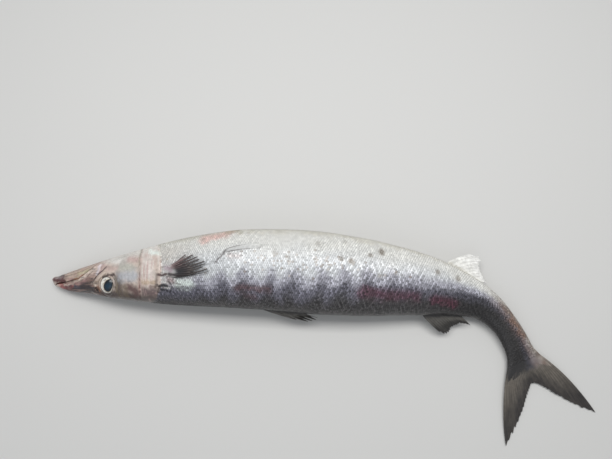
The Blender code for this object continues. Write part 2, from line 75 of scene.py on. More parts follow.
BACK_SQUARE = (2.0, 2.5, 3.0, 2.6, 2.25, 2.1, 2.0)
BELLY_SQUARE = (2.0, 2.2, 2.0, 1.95, 2.1, 2.15, 2.0)

# The skin runs on over the root of the tail fin
ROOT_STATIONS = (1, 1.012, 1.026, 1.042)
ROOT_HEIGHT = (0.0295, 0.0345, 0.0415, 0.0490)
ROOT_FLANK = (0.0080, 0.0056, 0.0034, 0.0003)

BEND_STATIONS = (0, 0.30, 0.50, 0.66, 0.76, 0.84, 0.91, 1, 1.3)
BEND_DEGREES = (0, 3.5, -4.3, -4.8, -9, -19.5, -46, -68, -74)
ROLL_STATIONS = (0, 0.74, 0.94, 1.3)
ROLL_DEGREES = (6.5, 6.5, 0, 0)
CLEAR_STATIONS = (0, 0.14, 0.24, 0.375, 0.47, 0.78, 0.88, 1.0)
CLEARANCE = (0.0014, 0.0026, 0.0021, 0.0023, -0.0026, -0.0026, -0.0004, 0.0012)
TAIL_DROOP_STATIONS = (1.0, 1.05, 1.12, 1.3)
TAIL_DROOP = (0.0065, 0.0042, 0.0022, 0.0014)

# Mouth line, gill cover and eye
MOUTH_STATIONS = (0, 0.0085, 0.0125, 0.018, 0.0315, 0.045, 0.060, 0.0755, 0.0855, 0.0956, 0.104, 0.114)
MOUTH_HEIGHT = (
    0.02, 0.0105, 0.0046, 0.0042, 0.0029, 0.0008, -0.0014, -0.0057, -0.0112, -0.0175, -0.0235, -0.0300,
)
MOUTH_CORNER = 0.106
SNOUT_START = 0.0125
CHEEK_ANGLE = math.radians(128)
GILL_REACH = 0.2475
GILL_SWEEP = 0.034
GILL_PEAK = math.radians(104)
CHEEK_EDGE = 0.2095
CHEEK_SWEEP = 0.010
CHEEK_PEAK = math.radians(100)
EYE_X, EYE_Y = 93.2, 6.1
EYE_ACROSS, EYE_TALL = 0.93, 1.05

# Creases and ridges of the head, in millimetres along the fish and up from the spine line
GROOVE_BEFORE_EYE = ((71.0, 3.5), (74.4, -0.6), (77.4, -5.0), (81.8, -8.9), (86.5, -12.6), (90.5, -17.0))
FOLD_BEFORE_EYE = ((75.5, 5.0), (80.7, -2.8), (88.0, -8.4), (98.0, -10.4), (106.0, -8.6))
JAW_BONE_END = ((80.0, -18.5), (80.6, -14.0), (79.2, -9.2))
LIP_RIDGE = ((26.0, 4.6), (40.7, 2.6), (52.2, -2.3), (61.4, -7.0), (70.3, -13.6), (75.0, -18.0))
SNOUT_RIDGE = ((34.0, 6.4), (48.0, 4.4), (58.0, 0.4), (66.0, -4.4), (73.5, -10.5))
SNOUT_CREASE = ((30.0, 8.6), (46.0, 8.2), (60.0, 7.0), (70.0, 6.2))
BROW = ((72.0, 14.5), (84.0, 19.4), (98.0, 21.0), (114.0, 21.6), (128.0, 24.0))
JAW_FOLDS = (
    ((27.0, -6.2), (42.0, -9.4), (56.0, -13.6), (66.0, -18.4)),
    ((25.0, -9.6), (42.0, -13.4), (60.0, -18.8), (78.0, -23.6)),
    ((58.0, -11.0), (66.0, -15.0), (73.0, -20.5)),
)
CHEEK_CRESTS = (
    ((113.0, -21.0), (119.0, -12.0), (121.0, -1.0), (119.5, 11.0), (116.0, 20.0)),
    ((96.0, -21.0), (108.0, -24.0), (120.0, -25.5), (131.0, -24.0)),
)
GILL_SEAM = ((146.0, 14.5), (154.0, 4.0), (161.0, -8.0), (166.0, -20.0))
NOSTRILS = ((75.9, 10.9), (79.5, 12.2))

# Ridges and grooves along those lines: the line, how far above it, height out and half width
RELIEF_LINES = (
    (GROOVE_BEFORE_EYE, 0, -0.85, 0.75),
    (FOLD_BEFORE_EYE, 0, 0.40, 1.3),
    (JAW_BONE_END, 0, 0.55, 1.6),
    (LIP_RIDGE, 0, 0.45, 1.1),
    (LIP_RIDGE, 2.2, -0.35, 0.8),
    (SNOUT_RIDGE, 0, 0.32, 1.0),
    (SNOUT_CREASE, 0, -0.40, 1.1),
    (BROW, 0, 0.55, 2.2),
    (BROW, -3.0, -0.30, 1.2),
)

# Height of the eye's socket and rim, and of a nostril's pit and rim, at distances from their middles
EYE_RIM_AT = (0, 8.6, 9.8, 10.5, 11.3, 12.3, 13.5, 14.8, 16.4, 18.2, 20.5, 24)
EYE_RIM_HEIGHT = (-4.6, -4.6, -1.9, 0.30, 0.75, 0.45, -0.28, 0.22, -0.12, 0.16, -0.05, 0)
NOSTRIL_AT = (0, 0.6, 1.1, 1.6, 2.4, 3.4)
NOSTRIL_HEIGHT = (-1.5, -1.4, -0.3, 0.32, 0.12, 0)

# By how much the snout's upper side is fuller than the plain section, and the lower jaw's tip blunter
SNOUT_FULLER = 3.0
TIP_BLUNTER = 2.2

# Guides of the pectoral fin's rays, from the fin's upper edge to its lower one, in the same millimetres
PECTORAL_AT = (0, 0.1, 0.2, 0.3, 0.4, 0.5, 0.6, 0.7, 0.8, 0.9, 1)
PECTORAL_BEND = (
    (192, 195, 198, 199, 199, 199, 198, 196, 194, 191, 186),
    (5.0, 4.6, 3.4, 0.8, -2.4, -5.4, -8.4, -11.0, -13.2, -15.2, -16.4),
)
PECTORAL_TIP = (
    (210, 215, 226.6, 225, 223, 224, 223, 219, 215.7, 210, 199),
    (-2.5, -5.0, -3.4, -6.6, -10.3, -12.9, -15.8, -19.4, -21.8, -24.7, -25),
)

SKIN_UNDER_SCALES = 0.30 * MM
PRESSED_TO = 0.45 * MM

# Middle line of the lower jaw's tip, from which the skin rounds off over that share of the length
TIP_CORE = -0.8 * MM
TIP_ROUND = 0.0055
CHIN_CREASE_AT = 8.1
CHIN_CREASE = 1.35
BEFORE_GILL_EDGE = -6.0 * MM / LENGTH
TRUNK_START = 0.345


def smooth(stations, values, at):
    """Smooth curve through the stations, whose slopes are limited so that it never overshoots."""
    x = np.asarray(stations, float)
    y = np.asarray(values, float)
    at = np.clip(np.asarray(at, float), x[0], x[-1])
    step = np.diff(x)
    rise = np.diff(y) / step
    slope = np.zeros_like(y)
    same_way = rise[:-1] * rise[1:] > 0
    total = np.where(same_way, rise[:-1] + rise[1:], 1)
    slope[1:-1] = np.where(same_way, 2 * rise[:-1] * rise[1:] / total, 0)
    slope[0], slope[-1] = rise[0], rise[-1]
    i = np.clip(np.searchsorted(x, at) - 1, 0, len(x) - 2)
    t = (at - x[i]) / step[i]
    ends = (2 * t**3 - 3 * t**2 + 1) * y[i] + (3 * t**2 - 2 * t**3) * y[i + 1]
    return ends + step[i] * ((t**3 - 2 * t**2 + t) * slope[i] + (t**3 - t**2) * slope[i + 1])


def ramp(low, high, value):
    """0 below low, 1 above high, and smooth between."""
    t = np.clip((value - low) / (high - low), 0, 1)
    return t * t * (3 - 2 * t)


def bell(value, width):
    """1 at zero, falling off as a bell of that half width."""
    return np.exp(-((value / width) ** 2))


def mm(u):
    """Millimetres along the fish at u."""
    return u * LENGTH / MM


def body_sizes(u):
    """Back height, belly height and half width in metres at u, running on over the tail fin's root."""
    sizes = []
    for row, root in ((BACK, ROOT_HEIGHT), (BELLY, ROOT_HEIGHT), (FLANK, ROOT_FLANK)):
        body = smooth(STATIONS, row, u)
        sizes.append(np.where(u > 1, smooth(ROOT_STATIONS, root, u), body) * LENGTH)
    return sizes


def squareness(above, u):
    """Power of the section's curve at u, above or below the spine line: 2 for an ellipse, or squarer."""
    return np.where(above, smooth(SQUARE_STATIONS, BACK_SQUARE, u), smooth(SQUARE_STATIONS, BELLY_SQUARE, u))


def section(u, phi, out=0.0):
    """Height and width of the body's surface at the angle phi, moved outwards by out.

    v = height * |cos phi|^(2/n) and w = width * |sin phi|^(2/n), with their signs, n being the squareness."""
    back, belly, flank = body_sizes(u)
    up, side = np.cos(phi), np.sin(phi)
    tall = np.where(up >= 0, back, belly)
    square = squareness(up >= 0, u)
    v = np.sign(up) * tall * np.abs(up) ** (2 / square)
    w = np.sign(side) * flank * np.abs(side) ** (2 / square)
    normal_v, normal_w = up / tall, side / flank
    size = np.hypot(normal_v, normal_w)
    return v + out * normal_v / size, w + out * normal_w / size


def spine_table():
    """Points and cross directions of the bent spine at even steps of u."""
    u = np.linspace(0, SPINE_END, SPINE_STEPS + 1)
    step = u[1] * LENGTH
    heading = np.radians(smooth(BEND_STATIONS, BEND_DEGREES, u))
    roll = np.radians(smooth(ROLL_STATIONS, ROLL_DEGREES, u))[:, None]
    v, w = section(np.minimum(u, 1)[:, None], np.linspace(-math.pi, 0, 60)[None, :])
    body = -(w * np.cos(roll) - v * np.sin(roll)).min(axis=1) + smooth(CLEAR_STATIONS, CLEARANCE, u)
    height = np.where(u <= 1, body, smooth(TAIL_DROOP_STATIONS, TAIL_DROOP, u))
    level = np.sqrt(1 - np.gradient(height, step) ** 2)
    across = np.stack([np.cos(heading) * level, np.sin(heading) * level], axis=1)
    plan = np.vstack([[0, 0], np.cumsum((across[1:] + across[:-1]) / 2 * step, axis=0)])
    plan -= plan[np.searchsorted(u, 0.5)] + BOX_MIDDLE
    points = np.column_stack([plan, height])
    along = np.gradient(points, step, axis=0)
    along /= np.linalg.norm(along, axis=1)[:, None]
    up = np.array([0.0, 0.0, 1.0])
    right = up - (along @ up)[:, None] * along
    right /= np.linalg.norm(right, axis=1)[:, None]
    back = np.cross(along, right)
    return u, points, np.cos(roll) * back - np.sin(roll) * right, np.cos(roll) * right + np.sin(roll) * back


SPINE_U, SPINE_POINTS, SPINE_BACK, SPINE_RIGHT = spine_table()


def place(u, v, w):
    """Fish coordinates to the world, one point for each entry of the arrays."""
    u, v, w = np.broadcast_arrays(u, v, w)

    def read(table):
        """The table's row at each u."""
        return np.stack([np.interp(u, SPINE_U, table[:, axis]) for axis in range(3)], axis=-1)

    return read(SPINE_POINTS) + v[..., None] * read(SPINE_BACK) + w[..., None] * read(SPINE_RIGHT)


def laid(u, phi, out, thin=1.0):
    """World points of the surface moved out by out.

    Where the fish lies on the floor all layers are pressed up alike, so that skin and scales stay apart."""
    v, w = section(u, phi, out)
    points = place(u, v, w * thin)
    under = place(u, *section(u, phi))[..., 2]
    points[..., 2] = np.maximum(points[..., 2] + np.maximum(PRESSED_TO - under, 0), 0)
    return points


def arc_lengths(v, w):
    """Length in metres along each row of points of the section, from the row's first point."""
    steps = np.hypot(np.diff(v), np.diff(w))
    return np.concatenate([np.zeros((len(v), 1)), np.cumsum(steps, axis=1)], axis=1)


def girth_table():
    """For even steps of u and of girth: the girth in metres, and the angle at each share of it."""
    u = np.linspace(0, ROOT_STATIONS[-1], 420)
    phi = np.linspace(0, 2 * math.pi, 2881)
    v, w = section(u[:, None], phi[None, :])
    arc = arc_lengths(v, w)
    shares = np.linspace(0, 1, 1441)
    angle = np.stack([np.interp(shares * row[-1], row, phi) for row in arc])
    return u, arc[:, -1], angle


GIRTH_U, GIRTH, GIRTH_ANGLE = girth_table()


def girth(u):
    """Length in metres once round the body at u."""
    return np.interp(u, GIRTH_U, GIRTH)


def angle_at_share(u, share):
    """The angle phi at a share of the girth, read between the table's entries."""
    u, share = np.broadcast_arrays(u, share)
    wraps = np.floor(share)
    i = np.clip(u / GIRTH_U[1], 0, len(GIRTH_U) - 1.001)
    j = np.clip((share - wraps) * (GIRTH_ANGLE.shape[1] - 1), 0, GIRTH_ANGLE.shape[1] - 1.001)
    i0, j0 = i.astype(int), j.astype(int)
    a, b = i - i0, j - j0
    low = GIRTH_ANGLE[i0, j0] * (1 - b) + GIRTH_ANGLE[i0, j0 + 1] * b
    high = GIRTH_ANGLE[i0 + 1, j0] * (1 - b) + GIRTH_ANGLE[i0 + 1, j0 + 1] * b
    return low * (1 - a) + high * a + wraps * 2 * math.pi


def angle_at(u, v):
    """The angle on the right flank where the surface has the height v."""
    back, belly = body_sizes(u)[:2]
    share = np.where(v >= 0, v / back, -v / belly)
    power = squareness(v >= 0, u) / 2
    return np.arccos(np.clip(np.sign(v) * np.clip(share, 0, 1) ** power, -1, 1))


def turned(phi):
    """Angle from the back, 0 to pi, the same on both flanks."""
    return np.abs((phi + math.pi) % (2 * math.pi) - math.pi)


def gill_edge(phi):
    """Rear edge of the gill cover at the angle phi: furthest back on the flank."""
    return GILL_REACH - GILL_SWEEP * (1 - np.cos(turned(phi) - GILL_PEAK))


def cheek_edge(phi):
    """Rear edge of the cheek, where the gill cover starts."""
    return CHEEK_EDGE - CHEEK_SWEEP * (1 - np.cos(turned(phi) - CHEEK_PEAK))


def lip_height(u):
    """Height of the mouth line in metres."""
    return smooth(MOUTH_STATIONS, MOUTH_HEIGHT, np.clip(u, SNOUT_START, MOUTH_CORNER)) * LENGTH


def mouth_line(u):
    """Angle of the mouth line, which runs on behind the corner as a plain line along the cheek."""
    lips = angle_at(u, lip_height(u))
    return lips + (CHEEK_ANGLE - lips) * ramp(MOUTH_CORNER, 0.17, u)


def from_line(x, y, points):
    """Distance in millimetres from the points x, y to a line through the given points."""
    nearest = np.full(np.shape(x), 1e9)
    for (ax, ay), (bx, by) in zip(points, points[1:]):
        t = np.clip(((x - ax) * (bx - ax) + (y - ay) * (by - ay)) / ((bx - ax) ** 2 + (by - ay) ** 2), 0, 1)
        nearest = np.minimum(nearest, np.hypot(x - ax - t * (bx - ax), y - ay - t * (by - ay)))
    return nearest


def head_relief(u, phi):
    """Millimetres by which creases, ridges, folds and plates of the head stand out from the plain section.

    The sum of bell-shaped ridges and grooves along the named lines, of rings round the eye and the nostrils,
    of the fuller snout and the blunter tip, of the plates behind the cheek, and of ripples sin(turn) for the
    rays under the gill cover. Each is faded in and out by ramps along the fish and round it."""
    turn = turned(phi)
    x, y = mm(u), section(u, phi)[0] / MM
    side = ramp(0.25, 0.6, turn) * ramp(0.02, 0.25, math.pi - turn)
    from_eye = np.hypot((x - EYE_X) / EYE_ACROSS, (y - EYE_Y) / EYE_TALL)
    out = smooth(EYE_RIM_AT, EYE_RIM_HEIGHT, from_eye)
    lines = 0
    for line, above, height, width in RELIEF_LINES:
        lines = lines + height * bell(from_line(x, y - above, line), width)
    out = out + side * lines
    for fold in JAW_FOLDS:
        lip, floor_of_fold = bell(from_line(x, y - 1.3, fold), 0.9), bell(from_line(x, y, fold), 0.6)
        out = out + side * (0.22 * lip - 0.42 * floor_of_fold)
    for crest in CHEEK_CRESTS:
        top, behind = bell(from_line(x, y, crest), 1.6), bell(from_line(x - 2.6, y, crest), 1.0)
        out = out + side * (0.18 * top - 0.10 * behind)
    for nx, ny in NOSTRILS:
        out = out + smooth(NOSTRIL_AT, NOSTRIL_HEIGHT, np.hypot(x - nx, y - ny)) * (turn < 1.5)
    fuller = SNOUT_FULLER * ramp(0.5, 7.0, x) * ramp(66, 22, x) * ramp(1.35, 0.45, turn)
    blunter = TIP_BLUNTER * bell(x - 2.6, 4.2) * ramp(1.55, 2.3, turn)
    out = out + fuller + blunter
    knob = ramp(95, 120, np.degrees(turn)) * ramp(6, 12, x)
    out = out - 0.6 * knob * bell(x - 23.0, 1.3) + 0.35 * knob * bell(x - 17.5, 4.5)
    crown = ramp(16, 34, x) * ramp(0, 40, 150 - x)
    edges = 0.40 * bell(turn - 0.42, 0.15) - 0.35 * bell(turn, 0.16) - 0.15 * bell(turn - 0.75, 0.12)
    out = out + crown * edges
    behind_cheek = x - mm(cheek_edge(phi))
    plate = ramp(0.62, 0.95, turn) * ramp(0.10, 0.45, math.pi - turn)
    worn = 0.65 + 0.35 * np.sin(y * 0.9 + 1.1 * np.sin(y * 0.37))
    gap = bell(behind_cheek - 0.35, 0.60)
    depth = 0.60 * worn * ramp(-16, 0, y) * gap + 0.25 * worn * ramp(0, -16, y) * gap
    out = out + plate * (0.32 * bell(behind_cheek + 1.8, 1.6) - depth)
    out = out + plate * 0.35 * ramp(1, 4, behind_cheek) * (1 - 0.8 * ramp(14, 26, behind_cheek))
    out = out - 0.35 * plate * bell(from_line(x, y, GILL_SEAM), 0.7) * ramp(2, 5, behind_cheek)
    rays = ramp(138, 150, np.degrees(turn)) * ramp(90, 104, x) * ramp(0, 10, mm(gill_edge(phi)) - x)
    return out + 0.28 * rays * np.sin(np.degrees(turn) * 0.95 + x * 0.05)


def mesh_piece(name, points, blocks, material, crease=None):
    """Mesh object at the origin from points and blocks of faces, smooth but for edges sharper than crease."""
    mesh = bpy.data.meshes.new(name)
    mesh.vertices.add(len(points))
    mesh.vertices.foreach_set("co", np.asarray(points, np.float32).ravel())
    corners = np.concatenate([block.ravel() for block in blocks]).astype(np.int32)
    sizes = np.concatenate([np.full(len(block), block.shape[1]) for block in blocks])
    mesh.loops.add(len(corners))
    mesh.loops.foreach_set("vertex_index", corners)
    mesh.polygons.add(len(sizes))
    mesh.polygons.foreach_set("loop_start", (np.cumsum(sizes) - sizes).astype(np.int32))
    mesh.update(calc_edges=True)
    mesh.validate()
    mesh.shade_smooth()
    if crease is not None:
        mesh.set_sharp_from_angle(angle=math.radians(crease))
    mesh.materials.append(material)
    obj = bpy.data.objects.new(name, mesh)
    bpy.context.scene.collection.objects.link(obj)
    return obj


def give(obj, name, values):
    """Attribute on the mesh's points: one number each, or three."""
    values = np.asarray(values, np.float32)
    kind, field = ("FLOAT", "value") if values.ndim == 1 else ("FLOAT_VECTOR", "vector")
    attribute = obj.data.attributes.new(name, kind, "POINT")
    attribute.data.foreach_set(field, values.ravel())


def give_map(obj, places):
    """UV map for baking, from one place for each point of the mesh."""
    corners = np.empty(len(obj.data.loops), np.int32)
    obj.data.loops.foreach_get("vertex_index", corners)
    layer = obj.data.uv_layers.new(name="OFBake")
    layer.uv.foreach_set("vector", places[corners].astype(np.float32).ravel())


def grid_faces(rows, columns, ring=False):
    """Quads of a grid of points, row by row, closed round each row where it is a ring."""
    i = np.arange(rows - 1)[:, None] * columns
    j = np.arange(columns if ring else columns - 1)[None, :]
    k = (j + 1) % columns
    return np.stack([i + j, i + k, i + columns + k, i + columns + j], axis=-1).reshape(-1, 4)


def fan_faces(centre, first, columns):
    """Triangles between one point and a closed row of points, given by its first point."""
    around = np.arange(columns)
    return np.stack([np.full(columns, centre), first + around, first + (around + 1) % columns], axis=1)


def sheet_faces(rows, columns):
    """Faces of a closed sheet: a grid of points, the grid of its other side, and a wall round the two."""
    size = rows * columns
    top = grid_faces(rows, columns)
    rim = np.concatenate([
        np.arange(columns), np.arange(2 * columns - 1, size, columns),
        np.arange(size - 2, size - columns - 1, -1), np.arange(size - 2 * columns, 0, -columns),
    ])
    following = np.roll(rim, -1)
    wall = np.stack([following, rim, size + rim, size + following], axis=1)
    return np.concatenate([top, top[:, ::-1] + size, wall])


def skin_rows():
    """Rows of the skin from the jaw's tip to the gill cover, closer together where the relief is finer.

    Each row's place is u = plain + cheek * cheek_edge + gill * gill_edge, so that rows run along the rear
    edge of the cheek and of the gill cover."""
    straight = np.concatenate([
        (0.0001, 0.0004), np.linspace(0.0009, 0.0112, 10), np.linspace(0.0117, 0.0142, 11),
        np.linspace(0.0150, 0.10, 88), np.linspace(0.1006, 0.172, 114), np.linspace(0.1728, 0.186, 12),
    ])
    rows = [(u, 0.0, 0.0) for u in straight]
    for t in np.linspace(0, 1, 27)[1:]:
        share = 1 - (1 - t) ** 1.4
        rows.append((straight[-1] * (1 - share), share, 0.0))
    for t in np.linspace(0, 1, 34)[1:]:
        share = t**1.35
        rows.append((BEFORE_GILL_EDGE * share, 1 - share, share))
    return np.array(rows)


# Path over the free edge of the gill cover: millimetres along and out, with and without the flap
FLAP_PATH = (
    (-4.6, 0.05), (-1.8, 0.18), (0.6, 0.32), (2.1, 0.28), (2.7, 0.02), (2.5, -0.30),
    (0.7, -0.60), (0.4, -0.95), (1.6, -1.15), (4.4, -0.85), (9.5, -0.34),
)
PLAIN_PATH = (
    (-4.5, 0.0), (-3.0, 0.0), (-1.5, 0.0), (0.0, -0.01), (1.5, -0.03), (3.0, -0.06),
    (4.4, -0.10), (5.7, -0.15), (7.0, -0.22), (8.2, -0.28), (9.5, -0.34),
)

# Path across the mouth line: millimetres down the flank and out
SLIT_PATH = (
    (-1.25, 0.45), (-0.52, 0.40), (-0.27, -0.05), (-0.20, -1.1), (-0.10, -2.6), (0.10, -2.6), (0.20, -1.1),
    (0.27, -0.05), (0.56, 0.38), (1.35, 0.42),
)
# Columns above and below the mouth line, more of them on the flank that is seen
COLUMNS_RIGHT = (98, 40)
COLUMNS_LEFT = (60, 28)


def half_ring(u, above, below):
    """Angles down one flank of the rows at u, with the columns of the slit along the mouth line, the
    millimetres that these stand out, and how far each is inside the mouth.

    Columns are even in arc length, but closer round the eye, and the slit follows SLIT_PATH."""
    fine = np.linspace(0, math.pi, 1801)
    v, w = section(u[:, None], fine[None, :])
    arc = arc_lengths(v, w) / MM
    line = np.array([np.interp(angle, fine, row) for angle, row in zip(mouth_line(u), arc)])[:, None]
    x = mm(u[:, None])
    size = np.minimum(1, arc[:, -1:] * 0.05)
    gape = 1 + 3.2 * bell(x - 19.0, 7.0)
    slit, slit_out = np.array(SLIT_PATH).T
    inner = np.abs(slit)[None, :] < 0.5
    across = slit[None, :] * size * np.where(inner, gape, 1) * np.where(inner, 1, 0.5 + 0.5 * gape)
    closer = smooth((0, 0.2, 0.8, 1), (0, 0.36, 0.76, 1), np.linspace(0, 1, above, endpoint=False))[None, :]
    top = (line + across[:, :1]) * closer
    start = line + across[:, -1:]
    low = start + (arc[:, -1:] - start) * np.linspace(0, 1, below + 1)[None, 1:]
    places = np.concatenate([top, line + across, low], axis=1)
    phi = np.stack([np.interp(a, row, fine) for a, row in zip(places, arc)])
    open_here = ramp(8.3, 9.6, x) * ramp(0, 5, mm(MOUTH_CORNER) + 1.5 - x)
    lips = ramp(8.0, 12.0, x) * ramp(0, 6, mm(MOUTH_CORNER) + 3 - x)
    at_slit = slice(above, above + len(slit))
    out = np.zeros_like(phi)
    out[:, at_slit] = np.where(slit_out < 0, slit_out * open_here, slit_out * lips) * size
    inside = np.zeros_like(phi)
    inside[:, at_slit] = ramp(0.1, -0.9, slit_out)[None, :] * open_here
    return phi, out, inside


def skin_grid():
    """The whole skin as a grid: place u, angle phi, height out, the relief in it, depth inside the mouth, and
    how far each row is thinned, which lets the skin run out into the forked root of the tail fin.

    Along the gill cover's free edge the rows follow FLAP_PATH, and above and below it PLAIN_PATH."""
    rows = skin_rows()
    flank = math.radians(100)
    nominal = rows[:, 0] + rows[:, 1] * cheek_edge(flank) + rows[:, 2] * gill_edge(flank)
    edge = float(gill_edge(flank))
    flap = np.array(FLAP_PATH)
    plain = np.array(PLAIN_PATH)
    behind = edge + plain[:, 0] * MM / LENGTH
    blend = np.linspace(0, 1, 15)[1:]
    trunk = np.concatenate([
        np.linspace(TRUNK_START, 0.88, 44)[1:], np.linspace(0.886, 1.0, 16), np.linspace(1.004, 1.042, 10),
    ])
    start = behind[-1]
    nominal = np.concatenate([nominal, behind, start + (TRUNK_START - start) * blend, trunk])
    right, right_out, right_in = half_ring(nominal, *COLUMNS_RIGHT)
    left, left_out, left_in = half_ring(nominal, *COLUMNS_LEFT)
    phi = np.concatenate([right, -left[:, -2:0:-1]], axis=1)
    slit_out = np.concatenate([right_out, left_out[:, -2:0:-1]], axis=1)
    inside = np.concatenate([right_in, left_in[:, -2:0:-1]], axis=1)
    edge = gill_edge(phi)
    u = np.empty_like(phi)
    out = np.zeros_like(phi)
    front = len(rows)
    u[:front] = rows[:, :1] + rows[:, 1:2] * cheek_edge(phi[:front]) + rows[:, 2:3] * edge[:front]
    n = len(flap)
    here = slice(front, front + n)
    free = ramp(math.radians(34), math.radians(62), turned(phi[here])) * ramp(
        math.radians(6), math.radians(22), math.pi - turned(phi[here]))
    path = plain[:, None, :] + (flap - plain)[:, None, :] * free[..., None]
    u[here] = edge[here] + path[..., 0] * MM / LENGTH
    out[here] = path[..., 1]
    there = slice(front + n, front + n + len(blend))
    first = edge[there] + flap[-1, 0] * MM / LENGTH
    u[there] = first + (TRUNK_START - first) * blend[:, None]
    fork = 0.42 + 0.58 * np.cos(phi[there.stop:]) ** 2
    u[there.stop:] = trunk[:, None] + (fork - 1) * np.maximum(trunk[:, None] - 1, 0)
    thin = np.ones_like(u)
    flank_of_row, flank_here = (
        smooth(ROOT_STATIONS, ROOT_FLANK, np.maximum(at, 1)) for at in (trunk[:, None], u[there.stop:]))
    thin[there.stop:] = flank_of_row / flank_here
    out[there.start:] = -SKIN_UNDER_SCALES / MM
    out[there.stop:] *= 1 - ramp(0.995, 1.02, u[there.stop:])
    beyond = mm(u - gill_edge(phi))
    relief = head_relief(u, phi) * (1 - ramp(-1.0, 2.0, beyond))
    above_mouth = 1 - ramp(0, 0.25, turned(phi) - mouth_line(u))
    crease = -CHIN_CREASE * bell(mm(u) - CHIN_CREASE_AT, 0.42) * above_mouth
    return u, phi, out + relief + slit_out + crease, relief + crease, inside, thin


def skin(material):
    """One continuous skin over head, lips, gill covers and body, closed at the jaw's tip and the tail.

    Near the tip, points are drawn in to the core line by sqrt(1 - (1 - u / TIP_ROUND)^2), a quarter of a
    circle."""
    u, phi, out, relief, inside, thin = skin_grid()
    points = laid(u, phi, out * MM, thin)
    rows, columns = phi.shape
    tip = place(np.array([0.0]), np.array([TIP_CORE]), np.array([0.0]))
    core = place(u, np.full_like(u, TIP_CORE), 0 * u)
    whole = np.sqrt(1 - (1 - np.minimum(u / TIP_ROUND, 1)) ** 2)[..., None]
    points = core + (points - core) * whole
    end = points[-1].mean(axis=0)[None, :]
    size = rows * columns
    faces = [
        grid_faces(rows, columns, True)[:, ::-1],
        fan_faces(size, 0, columns),
        fan_faces(size + 1, size - columns, columns)[:, ::-1],
    ]
    obj = mesh_piece("skin", np.concatenate([points.reshape(-1, 3), tip, end]), faces, material, 60)

    def spread(grid, at_tip, at_end):
        """The grid's values, then the tip's and the end's."""
        return np.concatenate([grid.reshape(-1, *grid.shape[2:]), [at_tip], [at_end]])

    height = section(u, phi)[0] / LENGTH
    side = np.sin(phi)
    give(obj, "fish", spread(np.stack([u, height, side], axis=-1), [0, 0, 0], [1.04, 0, 0]))
    colour = skin_colour(u, phi)
    give(obj, "colour", spread(colour, colour[0, 0], colour[-1, 0]))
    # Painted shade in the skin's creases and grooves, as deep as the relief sinks there
    give(obj, "painted_crease_shade", spread(np.clip(-relief / 0.7, 0, 1) * (relief > -3), 0, 0))
    give(obj, "inside", spread(inside, 0, 0))
    give(obj, "bare", spread(1 - ramp(2.0, 7.0, mm(u - gill_edge(phi))), 1, 0))
    down = np.linspace(0.01, 0.99, rows)[:, None] + 0 * phi
    round_share = np.linspace(0.01, 0.99, columns)[None, :] + 0 * phi
    give_map(obj, spread(np.stack([round_share, down], axis=-1), [0.5, 0.004], [0.5, 0.996]))
    return obj


def shade(red, green, blue):
    """Colour as it shows on a screen, 0 to 255, made linear."""
    screen = np.array([red, green, blue]) / 255
    return np.where(screen <= 0.04045, screen / 12.92, ((screen + 0.055) / 1.055) ** 2.4)


# Colours of the flanks
BELLY_CREAM = shade(220, 220, 216)
BELLY_OLIVE = shade(206, 202, 188)
SILVER = shade(197, 200, 203)
LILAC = shade(156, 156, 166)
BAR_GREY = shade(88, 87, 98)
BACK_OLIVE = shade(62, 60, 58)
BRUISE = shade(80, 44, 57)
BRUISE_BROWN = shade(80, 50, 50)
BLUSH = shade(220, 182, 174)
SHOULDER_WARM = shade(188, 179, 170)
# Brown of the tail's root, made darker as painted shade
TAIL_BROWN_AND_SHADE = shade(106, 88, 78)
RUST = shade(124, 88, 62)
SPOT_TAN = shade(122, 113, 102)
FLECK_TAN = shade(140, 124, 108)

# Colours of the head
CHEEK_CREAM = shade(196, 181, 170)
SNOUT_BROWN = shade(68, 56, 53)
SNOUT_ROSE = shade(140, 112, 104)
SNOUT_BLACK = shade(44, 42, 48)
JAW_TAN = shade(184, 164, 150)
JAW_GREEN = shade(176, 170, 134)
MAUVE_PINK = shade(158, 124, 122)
LIP_PINK = shade(142, 80, 80)
TIP_PURPLE = shade(116, 98, 102)
TIP_HIGHLIGHT = shade(158, 142, 142)
DEEP_RED = shade(74, 26, 28)
PEARL_HIGHLIGHT = shade(220, 210, 214)
SILVER_BLUE = shade(180, 183, 190)
CHEEK_GREEN = shade(176, 178, 166)
GILL_CREAM = shade(208, 194, 182)
GILL_PINK = shade(188, 160, 156)
MINT_HIGHLIGHT = shade(226, 234, 228)
MAUVE = shade(146, 122, 130)
ROSE_RED = shade(84, 57, 57)
OLIVE_BROWN = shade(104, 92, 74)
ORANGE_BROWN = shade(138, 88, 54)
SEAM_RED = shade(128, 78, 70)
DARK_LINE = shade(60, 46, 42)
WHITE_SKIN = shade(226, 224, 220)
INK = shade(20, 20, 22)
# Colour of the painted shade in the skin's creases
CREASE_SHADE = shade(58, 40, 36)
MOUTH_RED = shade(84, 26, 26)

# Colours of eyes and fins
EYE_CREAM = shade(238, 236, 228)
EYE_GREY = shade(150, 142, 140)
EYE_GOLD = shade(176, 150, 110)
EYE_EDGE = shade(64, 54, 50)
EYE_NAVY = shade(7, 12, 19)
EYE_TEAL = shade(15, 47, 66)
FIN_NAVY = shade(50, 49, 55)
FIN_UMBER = shade(84, 74, 72)
FIN_MAUVE = shade(146, 124, 124)
FIN_PALE = shade(104, 98, 95)
FIN_STRAND = shade(37, 34, 35)
JOINT_DARK = shade(40, 36, 34)

# Tones of a fin: membrane near the root, membrane at the margin, and rays
DARK_TONES = (shade(84, 82, 78), shade(44, 43, 42), shade(60, 57, 54))
PALE_TONES = (shade(240, 240, 236), shade(244, 244, 242), shade(230, 229, 224))
TAIL_TONES = (shade(104, 98, 90), shade(38, 36, 36), shade(62, 56, 52))

